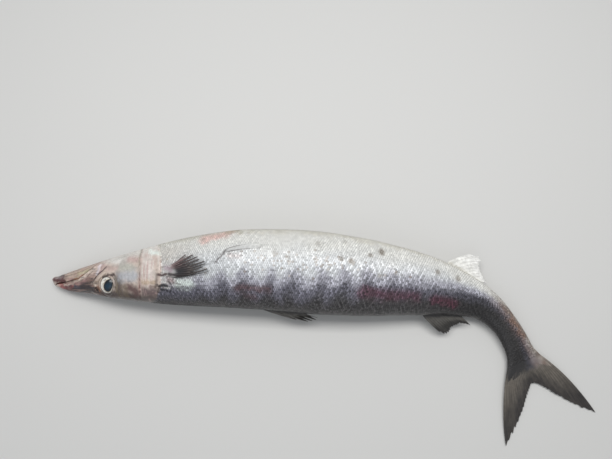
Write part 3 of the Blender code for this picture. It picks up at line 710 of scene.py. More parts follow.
# Painted strokes of the head: line in millimetres along the fish and up from the spine, half width, softness
# from 0 to 1, colour, and strength
STROKES = (
    (((58, 18), (80, 20), (104, 24), (130, 28)), 9.6, 0.7, SNOUT_BROWN, 0.92),
    (((32, 9), (44, 7.8), (54, 7.6)), 5.2, 0.7, shade(66, 54, 57), 0.92),
    (((37, 3.6), (45, 2.4)), 2.8, 0.8, shade(116, 86, 82), 0.75),
    # Painted highlight on the end of the upper jaw
    (((58, -6.5), (68, -9), (76, -13)), 5.2, 0.8, shade(224, 206, 196), 0.85),
    (((56, 2.0), (66, 1.0), (73, 0.4)), 4.4, 0.7, shade(56, 43, 41), 0.9),
    (((109, -1), (111, 7), (110, 18)), 7.4, 0.8, shade(84, 73, 68), 0.85),
    (((25, 9.5), (45, 11), (60, 12), (76, 15)), 4.6, 0.6, SNOUT_BROWN, 0.9),
    (((41, 7.2), (52, 7.4), (60, 6.2), (72, 7.0)), 2.4, 0.8, SNOUT_BLACK, 0.75),
    (((42, 6.6), (50, 7.4)), 1.9, 0.6, shade(58, 60, 74), 0.8),
    (((18, 5.6), (28, 5.4), (38, 4.8)), 3.0, 0.5, LIP_PINK, 0.95),
    (((14, 4.2), (22, 3.6), (30, 3.2)), 0.7, 0.9, shade(206, 160, 150), 0.5),
    (((46, 3.2), (56, 1.0), (64, -3.0)), 2.2, 0.8, MAUVE_PINK, 0.75),
    (((8, -2.2), (14, -3.4), (21, -4.6)), 4.2, 0.5, TIP_PURPLE, 0.95),
    # Painted highlight on the knob of the lower jaw's tip
    (((9, -2.6), (14, -3.8)), 1.4, 0.9, TIP_HIGHLIGHT, 0.7),
    (((20, -3.8), (28, -4.6)), 2.4, 0.9, shade(122, 100, 97), 0.6),
    (((7, -0.4), (13, -0.8), (20, -1.0), (27, -0.2)), 2.7, 0.7, DEEP_RED, 0.95),
    (((28, 5.8), (36, 5.4)), 2.8, 0.7, shade(88, 50, 53), 0.85),
    (((3, 1.8), (9, 3.2), (17, 5.4)), 1.1, 0.8, shade(176, 164, 158), 0.7),
    (((10, 5.0), (15, 6.4), (25, 8.6)), 0.9, 0.8, DARK_LINE, 0.8),
    (((7, -6.4), (14, -7.6), (23, -8.2)), 0.9, 0.8, DARK_LINE, 0.8),
    (((28, 0.2), (39, -1.2), (44, -2.2)), 0.9, 0.8, DEEP_RED, 0.8),
    (((44, -2.0), (50.5, -4.2), (57, -8.2)), 1.0, 0.8, ORANGE_BROWN, 0.8),
    (((57, -8.6), (63, -12.6), (69, -16.4)), 0.8, 0.9, DARK_LINE, 0.5),
    (((49, -9.4), (55, -10.8), (62, -12.8)), 2.4, 0.9, JAW_GREEN, 0.62),
    (LIP_RIDGE, 1.1, 0.8, GILL_CREAM, 0.62),
    (((66, -2.0), (70, -6.0), (75, -9.0)), 3.2, 0.9, SNOUT_ROSE, 0.6),
    (((62, -3.0), (66, -7.4), (71, -12.0)), 0.8, 0.9, OLIVE_BROWN, 0.5),
    # Painted shade in the groove before the eye
    (GROOVE_BEFORE_EYE, 0.75, 0.7, INK, 0.85),
    # Pale skin with a painted highlight on the ridge at the jaw bone's end
    (JAW_BONE_END, 1.8, 0.6, PEARL_HIGHLIGHT, 0.95),
    (((83.4, -9.0), (84.6, -14.0), (84.0, -19.0)), 1.0, 0.9, MAUVE, 0.6),
    (((72.0, 3.0), (80.5, -3.1), (89.3, -8.5)), 1.1, 0.8, GILL_CREAM, 0.75),
    (((74.0, 6.0), (83.5, -2.6), (91.6, -6.6)), 0.9, 0.8, OLIVE_BROWN, 0.55),
    (((78.6, 9.6), (80.4, 12.0)), 3.2, 0.8, ORANGE_BROWN, 0.85),
    (((77.6, 9.0), (79.4, 12.4)), 1.9, 0.8, shade(46, 31, 23), 0.9),
    (((79.6, 12.2), (80.6, 14.4)), 1.5, 0.8, INK, 0.8),
    (((76.4, 5.0), (77.2, 6.6)), 1.4, 0.8, GILL_CREAM, 0.8),
    # Painted shadow of the eye's rim, along its edge towards the belly
    (((89.0, -4.4), (92.1, -5.0), (98.3, -6.9), (104.0, -6.8)), 1.4, 0.7, DARK_LINE, 0.92),
    (((111.5, -8.0), (113.0, -1.5)), 2.8, 0.9, shade(98, 90, 84), 0.6),
    (((105.4, -4.0), (107.6, 3.8), (106.6, 15.0)), 1.3, 0.8, OLIVE_BROWN, 0.8),
    (((109.0, -4.6), (110.4, 5.0), (109.0, 16.0)), 1.0, 0.8, SNOUT_BROWN, 0.6),
    (((112.4, -3.0), (113.2, 6.2), (112.4, 15.0)), 0.8, 0.8, OLIVE_BROWN, 0.5),
    (((113, -20), (121, -14), (128, -8)), 9.0, 0.9, shade(178, 177, 174), 0.7),
    (((115, -4.0), (124, -3.8), (131, -3.6)), 6.8, 0.8, SILVER_BLUE, 0.8),
    (((113, -15.5), (121, -15.3), (127, -14.0)), 4.6, 0.9, CHEEK_GREEN, 0.5),
    # White skin with a painted highlight on it, below the eye towards the belly
    (((98, -24.2), (108, -23.4)), 3.4, 0.9, WHITE_SKIN, 0.6),
    (((86, -17.5), (96, -14.5), (106, -14.5)), 3.4, 0.9, GILL_PINK, 0.45),
    (((122, -24.4), (132, -24.2)), 3.6, 0.9, GILL_PINK, 0.7),
    (((125, 10.0), (130, 13.0), (133, 17.0)), 6.0, 0.8, ROSE_RED, 0.9),
    (((118, 8.0), (120, 14.0), (119, 19.0)), 3.4, 0.9, OLIVE_BROWN, 0.55),
    (((147, -28), (151, -10), (151, 4)), 7.4, 0.8, shade(212, 204, 198), 0.85),
    (((143.6, -18), (144.4, -4), (143.8, 6)), 0.8, 0.8, GILL_PINK, 0.7),
    (((148.6, -16), (149.2, -2), (148.4, 5)), 0.7, 0.8, GILL_PINK, 0.55),
    (((154.6, -18), (155.4, -5), (154.8, 3)), 0.7, 0.8, GILL_PINK, 0.45),
    (((144, 4.0), (150, 4.6), (157, 5.2)), 3.2, 0.8, shade(182, 160, 136), 0.8),
    (((152, 9.6), (158, 10.6)), 1.3, 0.8, shade(96, 72, 58), 0.6),
    (((144, 15.8), (151, 16.6), (157, 17.6)), 6.2, 0.8, shade(94, 77, 78), 0.92),
    # Painted highlight on the gill cover towards the belly
    (((148.7, -32.2), (156, -31.0), (163, -29.0)), 2.6, 0.7, MINT_HIGHLIGHT, 0.95),
)

# Marks of the right flank, behind the gill cover and along the body, in the same way: crisp ones, which
# cross the scales, and stains, which differ from scale to scale
CRISP_MARKS = (
    (((163.5, -3.9), (168.0, -2.6), (174.0, -3.4)), 1.5, 0.5, shade(66, 42, 42), 0.9),
    (((177.0, -3.2), (186.5, -1.6)), 1.9, 0.6, shade(58, 46, 46), 0.85),
    (((164.4, 10.4), (168.8, 9.2), (173.0, 11.8)), 2.0, 0.5, INK, 0.9),
    (((161.5, 8.0), (162.5, 12.0), (161.0, 17.0)), 1.3, 0.7, shade(52, 38, 34), 0.8),
    (((164.6, 14.6), (170.0, 15.4)), 1.4, 0.6, INK, 0.8),
    (((172.0, 16.6), (178.0, 17.4)), 1.2, 0.8, INK, 0.6),
    (((180.5, 4.6), (184.0, 8.0), (190.0, 9.6)), 1.0, 0.9, shade(78, 66, 64), 0.6),
    (((175.5, 5.5), (178.5, 9.0)), 1.2, 0.7, INK, 0.65),
    (((167.5, 5.0), (172.5, 6.6)), 1.1, 0.6, WHITE_SKIN, 0.7),
    (((171.5, 13.2), (176.0, 13.6)), 0.8, 0.7, WHITE_SKIN, 0.6),
    # Painted shade of the skin's crease in front of the pelvic fin's root
    (((233.5, -13.2), (240, -20.4), (246.5, -28.4)), 1.1, 0.8, shade(84, 76, 76), 0.8),
)
STAINS = (
    (((172.0, -10.5), (180.0, -9.0)), 3.6, 0.7, shade(176, 160, 168), 0.8),
    (((186, 7.6), (201, 10.0)), 5.2, 0.6, shade(208, 217, 213), 0.95),
    (((176, 1.5), (181, 6.0)), 3.0, 0.9, shade(150, 120, 118), 0.6),
    (((176, 12.6), (188, 14.0), (204, 13.4)), 1.8, 0.8, INK, 0.5),
    (((250, -21.5), (259, -20.0)), 3.6, 0.9, shade(176, 164, 162), 0.6),
    (((258, 16.4), (276, 17.2), (296, 17.6)), 4.6, 0.8, BRUISE_BROWN, 0.68),
    (((408, 13.5), (430, 13.4)), 7.6, 0.8, BRUISE, 0.78),
    (((440, 12.6), (462, 12.0), (474, 12.0)), 6.6, 0.8, BRUISE, 0.70),
    (((410, 6.0), (420, 9.0)), 3.4, 0.9, BRUISE, 0.5),
    (((498, 12.6), (514, 13.0), (528, 14.0)), 6.0, 0.8, BRUISE, 0.84),
    (((268, 27.0), (276, 28.5)), 4.0, 0.9, BRUISE_BROWN, 0.45),
    (((216, -43.7), (232, -46.0), (248, -50.0)), 4.6, 0.8, BLUSH, 0.75),
    (((244, -51.0), (256, -52.5)), 3.4, 0.8, shade(176, 168, 146), 0.6),
)

# Small ring-shaped spots in the same millimetres: place, radius and strength
SPOTS = (
    (429, -37.8, 3.4, 1.0), (415, -32.7, 2.4, 0.8), (380, -24.9, 2.8, 0.9), (392, -23.6, 3.0, 1.0),
    (427, -8.6, 2.4, 0.6), (446, -13.9, 2.2, 0.6), (499, -21.7, 2.8, 0.8), (527, -18.4, 3.0, 0.8),
    (385, -46.2, 2.6, 0.4), (300, -26, 3.0, 0.5), (318, -22, 2.4, 0.5), (352, -42, 2.8, 0.4),
)

# Height, as a share of the back's, at which the light flank turns dark, from place to place along the body,
# and the distance in millimetres between the dark bars
DARK_PLACES = (0.22, 0.30, 0.42, 0.54, 0.60, 0.66, 0.72, 0.78, 0.84, 0.89, 0.96)
DARK_FROM = (0.33, 0.29, 0.20, 0.13, 0.02, -0.05, -0.07, -0.13, -0.25, -0.36, -0.47)
BAR_SPACING = 29.0

# Random patches of the markings: how many values the lattice has before it repeats, and the size in
# millimetres and the seed of each kind
PATCH_LATTICE = 48
BROAD_PATCHES = (22, 1)
SMALL_PATCHES = (6, 2)
FINE_PATCHES = (2.4, 3)
FINE_ON_HEAD = (2.2, 3)
GRAIN_ON_HEAD = (1.0, 4)
BLOTCHES = (9, 6)
RAGGED_LINES = (3.5, 51)
RAGGED_EDGES = (1.3, 52)

# Seeds of the streaks along the jaw and the snout and down the gill cover, and of how far strokes stray
JAW_STREAKS = 31
SNOUT_STREAKS = 32
GILL_STREAKS = 33
STRAY_ALONG = 21
STRAY_UP = 23


def patchy(x, y, z, size, seed):
    """Smooth random patches of about that size in millimetres, -1 to 1.

    Seeded random values on a lattice, each blended with the next by t^2 (3 - 2t) along every axis."""
    values = np.random.default_rng(seed).uniform(-1, 1, (PATCH_LATTICE,) * 3)
    cells, parts = [], []
    for place_on in (x, y, z):
        scaled = place_on / size
        cell = np.floor(scaled).astype(int)
        part = scaled - cell
        cells.append(cell)
        parts.append(part * part * (3 - 2 * part))
    total = 0
    for corner in range(8):
        steps = [(corner >> axis) & 1 for axis in range(3)]
        weight = 1
        for part, step in zip(parts, steps):
            weight = weight * (part if step else 1 - part)
        i, j, k = ((cell + step) % PATCH_LATTICE for cell, step in zip(cells, steps))
        total = total + weight * values[i, j, k]
    return total


def lay(under, colour, mask):
    """The colour laid over another, as far as the mask from 0 to 1 says."""
    return under + (colour - under) * np.clip(mask, 0, 1)[..., None]


def stroke_mask(away, width, soft):
    """1 within the core of a stroke, falling off as a bell over its soft edge."""
    return bell(np.maximum(away - width * (1 - soft), 0), width * soft + 0.15)


def flank_colour(u, x, y, z, high):
    """Colours of the scaled body: cream belly, silver flank and dark back, whose bars reach down the flank.

    Each colour is laid on over a ramp of the height, where high is -1 at the belly's edge and 1 at the
    back's, or of lower, the height above the line at which light turns dark. That line falls towards the
    tail and waves with the bars, sin(2 pi x / BAR_SPACING). The back darkens towards the tail as painted
    shade, the tail's root is brown and made darker still by painted shade, and painted shade dims the rear
    flank where the highlight band lies. The right flank carries bruises and stains, broken up from scale
    to scale."""
    right = z > 0
    broad, small, fine = (patchy(x, y, z, *kind) for kind in (BROAD_PATCHES, SMALL_PATCHES, FINE_PATCHES))
    colour = np.broadcast_to(BELLY_CREAM, (*u.shape, 3))
    colour = lay(colour, BELLY_OLIVE, 0.55 * ramp(-0.84, -0.97, high + 0.06 * small))
    colour = lay(colour, SILVER, ramp(-0.80, -0.25, high + 0.12 * broad))
    bars = np.sin(2 * math.pi * (x + 9 * broad) / BAR_SPACING) * ramp(0.28, 0.36, u) * ramp(0.74, 0.62, u)
    lower = high - smooth(DARK_PLACES, DARK_FROM, u) + 0.05 * small + 0.02 * fine + 0.10 * bars
    colour = lay(colour, LILAC, ramp(-0.38, -0.05, lower))
    colour = lay(colour, BAR_GREY, 0.92 * ramp(-0.07, 0.18, lower))
    colour = lay(colour, BACK_OLIVE, 0.85 * ramp(0.20, 0.62, lower + 0.05 * fine))
    # Painted shade: the back darkens towards the tail
    colour = colour * (1 - 0.56 * ramp(0.68, 0.86, u) * ramp(-0.10, 0.25, lower))[..., None]
    # The tail's root turns brown, with painted shade darkening it where it bends away
    brown_and_shade = ramp(0.84, 0.92, u + 0.012 * broad)
    colour = lay(colour, TAIL_BROWN_AND_SHADE, brown_and_shade * (0.78 + 0.2 * small) * ramp(0.30, -0.10, lower))
    rusty = bell(u - 0.935, 0.035) * bell(high + 0.55, 0.4) * ramp(-0.6, 0.4, small + 0.4)
    colour = lay(colour, RUST, 0.55 * rusty)
    shoulder = 0.40 * ramp(0.33, 0.26, u) * ramp(0.15, -0.2, lower) * ramp(-0.95, -0.7, high)
    colour = lay(colour, SHOULDER_WARM, shoulder)
    for line, width, soft, tint, strength in STAINS:
        loose = soft * min(width, 5.0) / 3.5
        away = from_line(x, y + 1.6 * small * loose, line) + (1.6 * fine + 1.6 * small) * loose
        broken = 1 - 0.25 * soft * ramp(0.1, -0.6, fine)
        colour = lay(colour, tint, strength * stroke_mask(away, width, soft) * broken * right)
    mottle = 0.11 * ramp(0.50, 0.60, u) * ramp(0.1, -0.3, high) * patchy(x, y, z, *BLOTCHES)
    # Painted shade that dims the colour where the lamps' highlight band lies on the rear flank
    highlight_shade = 0.12 * bell(u - 0.65, 0.10) * bell(high + 0.38, 0.25)
    barred = 0.16 * bars * ramp(-0.30, 0.05, lower) * ramp(0.75, 0.40, lower)
    return colour * (1 + 0.02 * fine + 0.03 * small + mottle - highlight_shade - barred)[..., None]


def crisp_marks(colour, u, phi):
    """The colour with the crisp marks of the right flank over it."""
    v, w = section(u, phi)
    x, y, z = mm(u), v / MM, w / MM
    small, fine = patchy(x, y, z, *RAGGED_LINES), patchy(x, y, z, *RAGGED_EDGES)
    for line, width, soft, tint, strength in CRISP_MARKS:
        away = from_line(x, y + 0.7 * small, line) + 0.6 * fine
        colour = lay(colour, tint, strength * stroke_mask(away, width, soft) * (z > 0))
    for sx, sy, size, strength in SPOTS:
        away = np.hypot(x - sx, y - sy) + 0.6 * fine + 0.5 * small
        ring = 0.72 * bell(away, 1.15 * size) + 0.35 * bell(away - 0.7 * size, 0.4 * size)
        colour = lay(colour, SPOT_TAN, strength * ring * (z > 0))
    return colour


def head_colour(u, phi, x, y, z, high):
    """Colours of the bare head: painted strokes whose lines wander, over streaks that follow the jaws, the
    snout and the gill cover's bones.

    Streaks are patches of noise drawn out along the jaw, the snout or down the gill cover."""
    kinds = (BROAD_PATCHES, SMALL_PATCHES, FINE_ON_HEAD, GRAIN_ON_HEAD)
    broad, small, fine, grain = (patchy(x, y, z, *kind) for kind in kinds)
    from_lip = y - lip_height(u) / MM
    along_jaw = patchy(x / 9, from_lip, z / 6, 1.0, JAW_STREAKS)
    along_snout = patchy(x / 8, y / 0.9, z / 4, 1.0, SNOUT_STREAKS)
    down_gill = patchy(x, y / 9, z / 9, 1.0, GILL_STREAKS)
    stray_x, stray_y = (
        1.3 * patchy(x, y, z, 4.5, seed) + 0.65 * patchy(x, y, z, 1.6, seed + 1)
        for seed in (STRAY_ALONG, STRAY_UP)
    )
    colour = np.broadcast_to(CHEEK_CREAM, (*u.shape, 3))
    colour = lay(colour, JAW_TAN, ramp(96, 74, x + 4 * broad))
    jaw = ramp(98, 84, x) * ramp(2.0, -1.0, from_lip) * ramp(14, 24, x)
    colour = lay(colour, MAUVE_PINK, 0.55 * jaw * ramp(-0.1, 0.7, along_jaw))
    colour = lay(colour, SNOUT_BROWN, 0.28 * jaw * ramp(0.1, -0.7, along_jaw))
    colour = lay(colour, SNOUT_BROWN, 0.95 * ramp(0.42, 0.72, high + 0.08 * small) * ramp(30, 60, x))
    colour = lay(colour, SNOUT_BROWN, 0.82 * ramp(0.05, 0.42, high) * ramp(88, 62, x) * ramp(14, 24, x))
    colour = lay(colour, GILL_PINK, 0.35 * ramp(0.1, 0.8, small) * ramp(0.3, -0.3, high))
    colour = lay(colour, BELLY_CREAM, 0.7 * ramp(-0.55, -0.9, high) * ramp(70, 100, x))
    for line, width, soft, tint, strength in STROKES:
        away = from_line(x + stray_x, y + stray_y, line) * (1 + 0.25 * fine) + 0.2 * grain
        colour = lay(colour, tint, strength * stroke_mask(away, width, soft))
    snout = ramp(26, 40, x) * ramp(86, 76, x) * ramp(-1.0, 2.0, from_lip)
    colour = lay(colour, SNOUT_BLACK, 0.60 * snout * ramp(0.05, 0.65, along_snout))
    colour = lay(colour, SNOUT_ROSE, 0.55 * snout * ramp(0.0, -0.6, along_snout))
    plate = ramp(139, 143, x)
    colour = lay(colour, GILL_PINK, 0.50 * plate * ramp(0.15, 0.8, down_gill))
    colour = lay(colour, WHITE_SKIN, 0.45 * plate * ramp(0.0, -0.7, down_gill) * ramp(8, 2, y))
    behind_eye = bell(x - 110, 6.0) * ramp(-8, -2, y)
    colour = lay(colour, OLIVE_BROWN, 0.50 * behind_eye * ramp(0.0, 0.6, down_gill))
    flank = ramp(0.9, 1.3, turned(phi))
    seam = x - mm(cheek_edge(phi)) + 0.7 * small + 0.4 * fine
    colour = lay(colour, SEAM_RED, 0.50 * flank * bell(seam + 0.3, 1.1) * ramp(-12, -4, y))
    colour = lay(colour, OLIVE_BROWN, 0.55 * flank * bell(seam + 0.4, 1.2) * ramp(-2, -10, y))
    colour = lay(colour, GILL_PINK, 0.45 * flank * bell(seam - 1.6, 0.9))
    # Dark line just before the gill cover's free edge: its own dark colour together with painted shadow of
    # the gap under the flap
    edge = x - mm(gill_edge(phi)) + 0.5 * small
    dark = flank * bell(edge + 1.2, 1.3) * ramp(-8, -3, y) * ramp(16, 11, y)
    colour = lay(colour, DARK_LINE, 0.85 * dark)
    colour = lay(colour, GILL_CREAM, 0.3 * flank * bell(edge - 2.0, 0.7))
    return colour * (1 + 0.05 * small + 0.06 * fine + 0.06 * grain)[..., None]


def skin_colour(u, phi, marked=True):
    """Colour of the skin and of the scales over it, the same for both."""
    u, phi = np.broadcast_arrays(u, phi)
    v, w = section(u, phi)
    back, belly = body_sizes(u)[:2]
    x, y, z = mm(u), v / MM, w / MM
    high = np.where(v >= 0, v / back, v / belly)
    colour = flank_colour(u, x, y, z, high)
    bare = ramp(4.6, 2.4, x - mm(gill_edge(phi)))
    here = bare > 0
    if here.any():
        painted = head_colour(*(values[here] for values in (u, phi, x, y, z, high)))
        colour[here] = lay(colour[here], painted, bare[here])
    return crisp_marks(colour, u, phi) if marked else colour


# Scales: how many rows lie round the body, how many of those end before the tail, where the coat starts and
# ends, the least and greatest distance between scales, and the share of the girth at the lateral line
SCALE_ROWS = 100
ROWS_LOST = 46
COAT_START = 0.18
COAT_END = 1.008
SCALE_SPACING = (1.7 * MM, 3.2 * MM)
LATERAL_LINE = 0.158

# One scale: its proportions, its thickness, the places of its points along and across, and how far scales tip
# up and to the side in millimetres
SCALE_OVERLAP = 1.85
SCALE_WIDTH = 1.36
SCALE_THICK = 0.15 * MM
SCALE_ALONG = (0, 0.42, 0.75, 1.0)
SCALE_ACROSS = (-1, -0.56, 0, 0.56, 1)
SCALE_TIP = 0.16
SCALE_CANT = 0.13

# How far from its root a scale takes its colour, and the size of its patch on the map for baking
COLOUR_STRAY = 1.3 * MM
MAP_PATCH = 0.003

# Seeds of where scales start and which rows end, and of how far they lie beside their rows
COAT_SEED = 41
ROW_SEED = 5


def scale_spacing(u):
    """Distance in metres between scales along the body: the girth by the rows that are left there."""
    rows = SCALE_ROWS - ROWS_LOST * ramp(0.55, 0.93, u)
    return np.clip(0.96 * girth(u) / rows, *SCALE_SPACING)


def scale_places():
    """Root of every scale: u, share of the girth, length, width, row and tone, in staggered rows like tiles.

    Pairs of rows narrow and end one after another towards the tail, as the girth shrinks. A scale's tone is a
    random number less the mean of its four neighbours' numbers, so that it differs from those beside it."""
    u = np.linspace(COAT_START, 1.02, 1700)
    count = np.concatenate([[0], np.cumsum(np.diff(u) * LENGTH / scale_spacing((u[1:] + u[:-1]) / 2))])
    rng = np.random.default_rng(COAT_SEED)
    rings = np.arange(0, int(count[-1]))
    pairs = np.arange(SCALE_ROWS) // 2
    order = rng.permutation(SCALE_ROWS // 2)
    lost = np.full(SCALE_ROWS // 2, 9.0)
    lost[order[:ROWS_LOST // 2]] = np.linspace(0.56, 0.92, ROWS_LOST // 2)
    row = np.arange(SCALE_ROWS)[None, :]
    along = np.interp(rings[:, None] + 0.5 * (row % 2), count, u)
    along = along + rng.uniform(-0.1, 0.1, along.shape) * scale_spacing(along) / LENGTH
    weight = 1 - ramp(-0.05, 0.0, along - lost[pairs][None, :])
    total = np.cumsum(weight, axis=1)
    share = (total - weight / 2) / total[:, -1:]
    width = girth(along) * weight / total[:, -1:]
    phi = angle_at_share(along, share)
    behind_gill = mm(along - gill_edge(phi))
    keep = (behind_gill > 2.2) & (weight > 0.25) & (along < COAT_END)
    rows = np.broadcast_to(row, along.shape)
    length = scale_spacing(along) * (0.55 + 0.45 * weight)
    free = rng.uniform(-1, 1, along.shape)
    beside = sum(np.roll(free, step, axis) for step in (-1, 1) for axis in (0, 1))
    tone = np.clip(0.5 + 0.42 * (free - beside / 4), 0, 1)
    return along[keep], share[keep], length[keep], width[keep], rows[keep], tone[keep]


def scale_coat(name, u0, share0, length, width, tone, tube, material):
    """One joined mesh of scales. Each is a thin curved plate whose root is sunk in the skin and whose round
    free edge stands a little out: x runs from root to edge, y across, and every point lies on the body's
    surface moved out by a slope, a dome, the scale's own tilt and, on the lateral line, a small tube."""
    along, across = np.meshgrid(SCALE_ALONG, SCALE_ACROSS, indexing="ij")
    reach = (along * (1 - 0.40 * across**2 * along))[None]
    narrow = (across * (1 - 0.14 * along**2))[None]
    rng = np.random.default_rng(len(u0))
    rise, tip, cant, skew, before, beside = rng.uniform(-1, 1, (6, len(u0), 1, 1))
    du = (reach - 0.35) * (length * SCALE_OVERLAP)[:, None, None]
    dy = narrow * (width * SCALE_WIDTH / 2)[:, None, None]
    u = np.clip(u0[:, None, None] + (du + 0.05 * skew * dy) / LENGTH, 0, 1.02)
    phi = angle_at_share(u, share0[:, None, None] + dy / girth(u))
    out = -0.50 + 0.62 * reach * (1 + 0.15 * rise) - 0.10 * narrow**2
    out = out + SCALE_TIP * tip * (reach - 0.5) + SCALE_CANT * cant * narrow
    out = out + tube[:, None, None] * 0.22 * bell(narrow, 0.30) * ramp(0.2, 0.5, reach)
    sheets = [laid(u, phi, out * MM + level) for level in (0, -SCALE_THICK)]
    one = sheet_faces(*along.shape)[:, ::-1]
    faces = (one[None] + (np.arange(len(u0)) * 2 * along.size)[:, None, None]).reshape(-1, 4)
    obj = mesh_piece(name, np.stack(sheets, axis=1).reshape(-1, 3), [faces], material, 50)

    def both(grid):
        """Values for the points of both faces of every scale."""
        grid = grid + np.zeros(u.shape) if grid.ndim == 3 else grid
        return np.stack([grid, grid], axis=1).reshape(-1, *grid.shape[3:])

    root_u = u0[:, None, None] + COLOUR_STRAY * before / LENGTH
    root_phi = angle_at_share(root_u, share0[:, None, None] + COLOUR_STRAY * beside / girth(root_u))
    at_root = skin_colour(root_u, root_phi, False)
    light = at_root.mean(axis=-1)
    turn = np.degrees(turned(root_phi))
    contrast = 0.02 + 0.36 * ramp(0.68, 0.30, light) + 0.16 * ramp(0.2, 0.06, light)
    # Painted glitter: around 105 degrees, where the highlight band lies, the scales' tones differ more
    contrast = contrast + 0.12 * bell(turn - 105, 14)
    shift = 1 + contrast * (2 * tone - 1)[:, None, None]
    colour = (0.5 * skin_colour(u, phi, False) + 0.5 * at_root) * shift[..., None]
    common = 0.008 + 0.30 * bell(root_u - 0.51, 0.08) * bell(turn - 107, 9) * (root_phi < math.pi)
    fleck = (rng.uniform(0, 1, (len(u0), 1, 1)) < common * ramp(0.25, 0.4, light)) + 0 * u
    colour = crisp_marks(lay(colour, FLECK_TAN, 0.42 * fleck), u, phi)
    give(obj, "colour", both(colour))
    give(obj, "scale", np.stack([both(tone[:, None, None]), both(reach), both(np.abs(narrow))], axis=-1))
    give(obj, "edging", both(0.42 + 0.38 * ramp(0.60, 0.10, light)))
    root = np.stack([share0 * 0.98 + 0.01, (u0 - 0.15) / 0.9], axis=-1)[:, None, None, :]
    give_map(obj, both(root + np.stack([across / 2, along - 0.5], axis=-1)[None] * MAP_PATCH * 0.9))
    return obj


def scales(material):
    """The coat of scales, in pieces for the four quarters of the body, each split at mid length."""
    u, share, length, width, row, tone = scale_places()
    rng = np.random.default_rng(ROW_SEED)
    share = share + rng.uniform(-0.03, 0.03, len(u)) * width / girth(u)
    line_rows = [int(SCALE_ROWS * LATERAL_LINE), int(SCALE_ROWS * (1 - LATERAL_LINE))]
    tube = np.isin(row, line_rows).astype(float)
    quarter = np.minimum((share * 4).astype(int), 3)
    rear = u > 0.50
    made = []
    for k, side in enumerate(("back_right", "belly_right", "belly_left", "back_left")):
        for half, part in ((~rear, "_fore"), (rear, "_aft")):
            mine = (quarter == k) & half
            picked = [values[mine] for values in (u, share, length, width, tone, tube)]
            made.append(scale_coat("scales_" + side + part, *picked, material))
    return made


# Eye in millimetres: radius and height of the dome, then the rings of its tucked edge and its back, and the
# pupil's middle, half length and half width, its slant in degrees, and the corner that it is drawn out to
EYE_RADIUS = 10.25
EYE_DOME = 2.35
EYE_TUCK_RADIUS = (10.5, 10.3, 9.0, 5.0)
EYE_TUCK_HEIGHT = (-1.2, -2.8, -4.2, -4.8)
PUPIL_AT = (96.2, 6.4)
PUPIL_SIZE = (7.6, 5.5)
PUPIL_SLANT = 112
PUPIL_CORNER = (5.1, -7.0)

# Random patches of the eye, in millimetres and with their seeds: the pupil's edge, the veil over both, the
# strands of the smear, and the seed of the streaks
PUPIL_RAGGED = (1.7, 12)
EYE_VEIL = (3.4, 14)
EYE_STRANDS = (1.6, 15)
EYE_STREAKS = 13


def eye(name, side, material):
    """Domed eye: rings of points at a radius and an angle round its middle, each on the head's surface moved
    out by the dome's height there, and tucked under the skin's rim at its edge.

    The dome falls with the power 2.3 of the radius. The pupil is an ellipse with a bell-shaped corner."""
    front = EYE_RADIUS * np.sin(np.linspace(0, math.pi / 2, 46)) ** 0.9
    radius = np.concatenate([front, EYE_TUCK_RADIUS])[:, None]
    height = np.concatenate([EYE_DOME - 2.65 * (front / EYE_RADIUS) ** 2.3, EYE_TUCK_HEIGHT])[:, None]
    around = np.linspace(0, 2 * math.pi, 96, endpoint=False)[None, :]
    x, y = EYE_X + EYE_ACROSS * radius * np.cos(around), EYE_Y + EYE_TALL * radius * np.sin(around)
    u = x * MM / LENGTH
    v, w = section(u, angle_at(u, y * MM), height * MM)
    points = place(u, v, side * w)
    rows, columns = x.shape
    flat = np.concatenate([points.reshape(-1, 3), points[-1].mean(axis=0)[None, :]])
    flat[:, 2] = np.maximum(flat[:, 2], 0.0)
    quads = grid_faces(rows, columns, True)
    back_fan = fan_faces(rows * columns, (rows - 1) * columns, columns)
    faces = [quads, back_fan[:, ::-1]] if side < 0 else [quads[:, ::-1], back_fan]
    obj = mesh_piece(name, flat, faces, material)
    dx, dy = x - PUPIL_AT[0], y - PUPIL_AT[1]
    turn = np.arctan2(dy, dx)
    away = np.hypot(dx, dy)
    tilt = turn - math.radians(PUPIL_SLANT)
    oval = 1 / np.sqrt((np.cos(tilt) / PUPIL_SIZE[0]) ** 2 + (np.sin(tilt) / PUPIL_SIZE[1]) ** 2)
    from_corner = np.angle(np.exp(1j * (turn - np.arctan2(PUPIL_CORNER[1], PUPIL_CORNER[0]))))
    pupil = oval + 2.3 * bell(from_corner, 0.34)
    level = 0 * x
    inside = ramp(0.42, -0.42, away - pupil + 0.10 * patchy(x, y, level + 3.3, *PUPIL_RAGGED))
    streak = patchy(turn * 9, radius + level, level, 1.0, EYE_STREAKS)
    veil = patchy(x, y, level, *EYE_VEIL)
    colour = lay(EYE_CREAM, EYE_GREY, 0.10 + 0.3 * streak + 0.3 * veil)
    strands = ramp(-0.15, 0.35, patchy(x, y * 3, level, *EYE_STRANDS))
    smear = ramp(1.5, -2.5, dx) * bell(away - pupil - 1.4, 1.3) * strands
    colour = lay(colour, EYE_EDGE, 0.75 * smear)
    colour = lay(colour, EYE_GOLD, 0.5 * bell(away - pupil - 0.55, 0.45))
    colour = lay(colour, EYE_EDGE, 0.85 * ramp(8.6, 10.1, radius + level))
    deep = lay(EYE_NAVY, EYE_TEAL, 1.15 * bell(away, 4.4) + 0.35 * veil)
    colour = lay(colour, deep, inside) * (1 - 0.85 * bell(away - pupil + 0.35, 0.55))[..., None]
    give(obj, "colour", np.concatenate([colour.reshape(-1, 3), [EYE_EDGE]]))
    give(obj, "inside", np.concatenate([inside.ravel(), [0]]))
    return obj


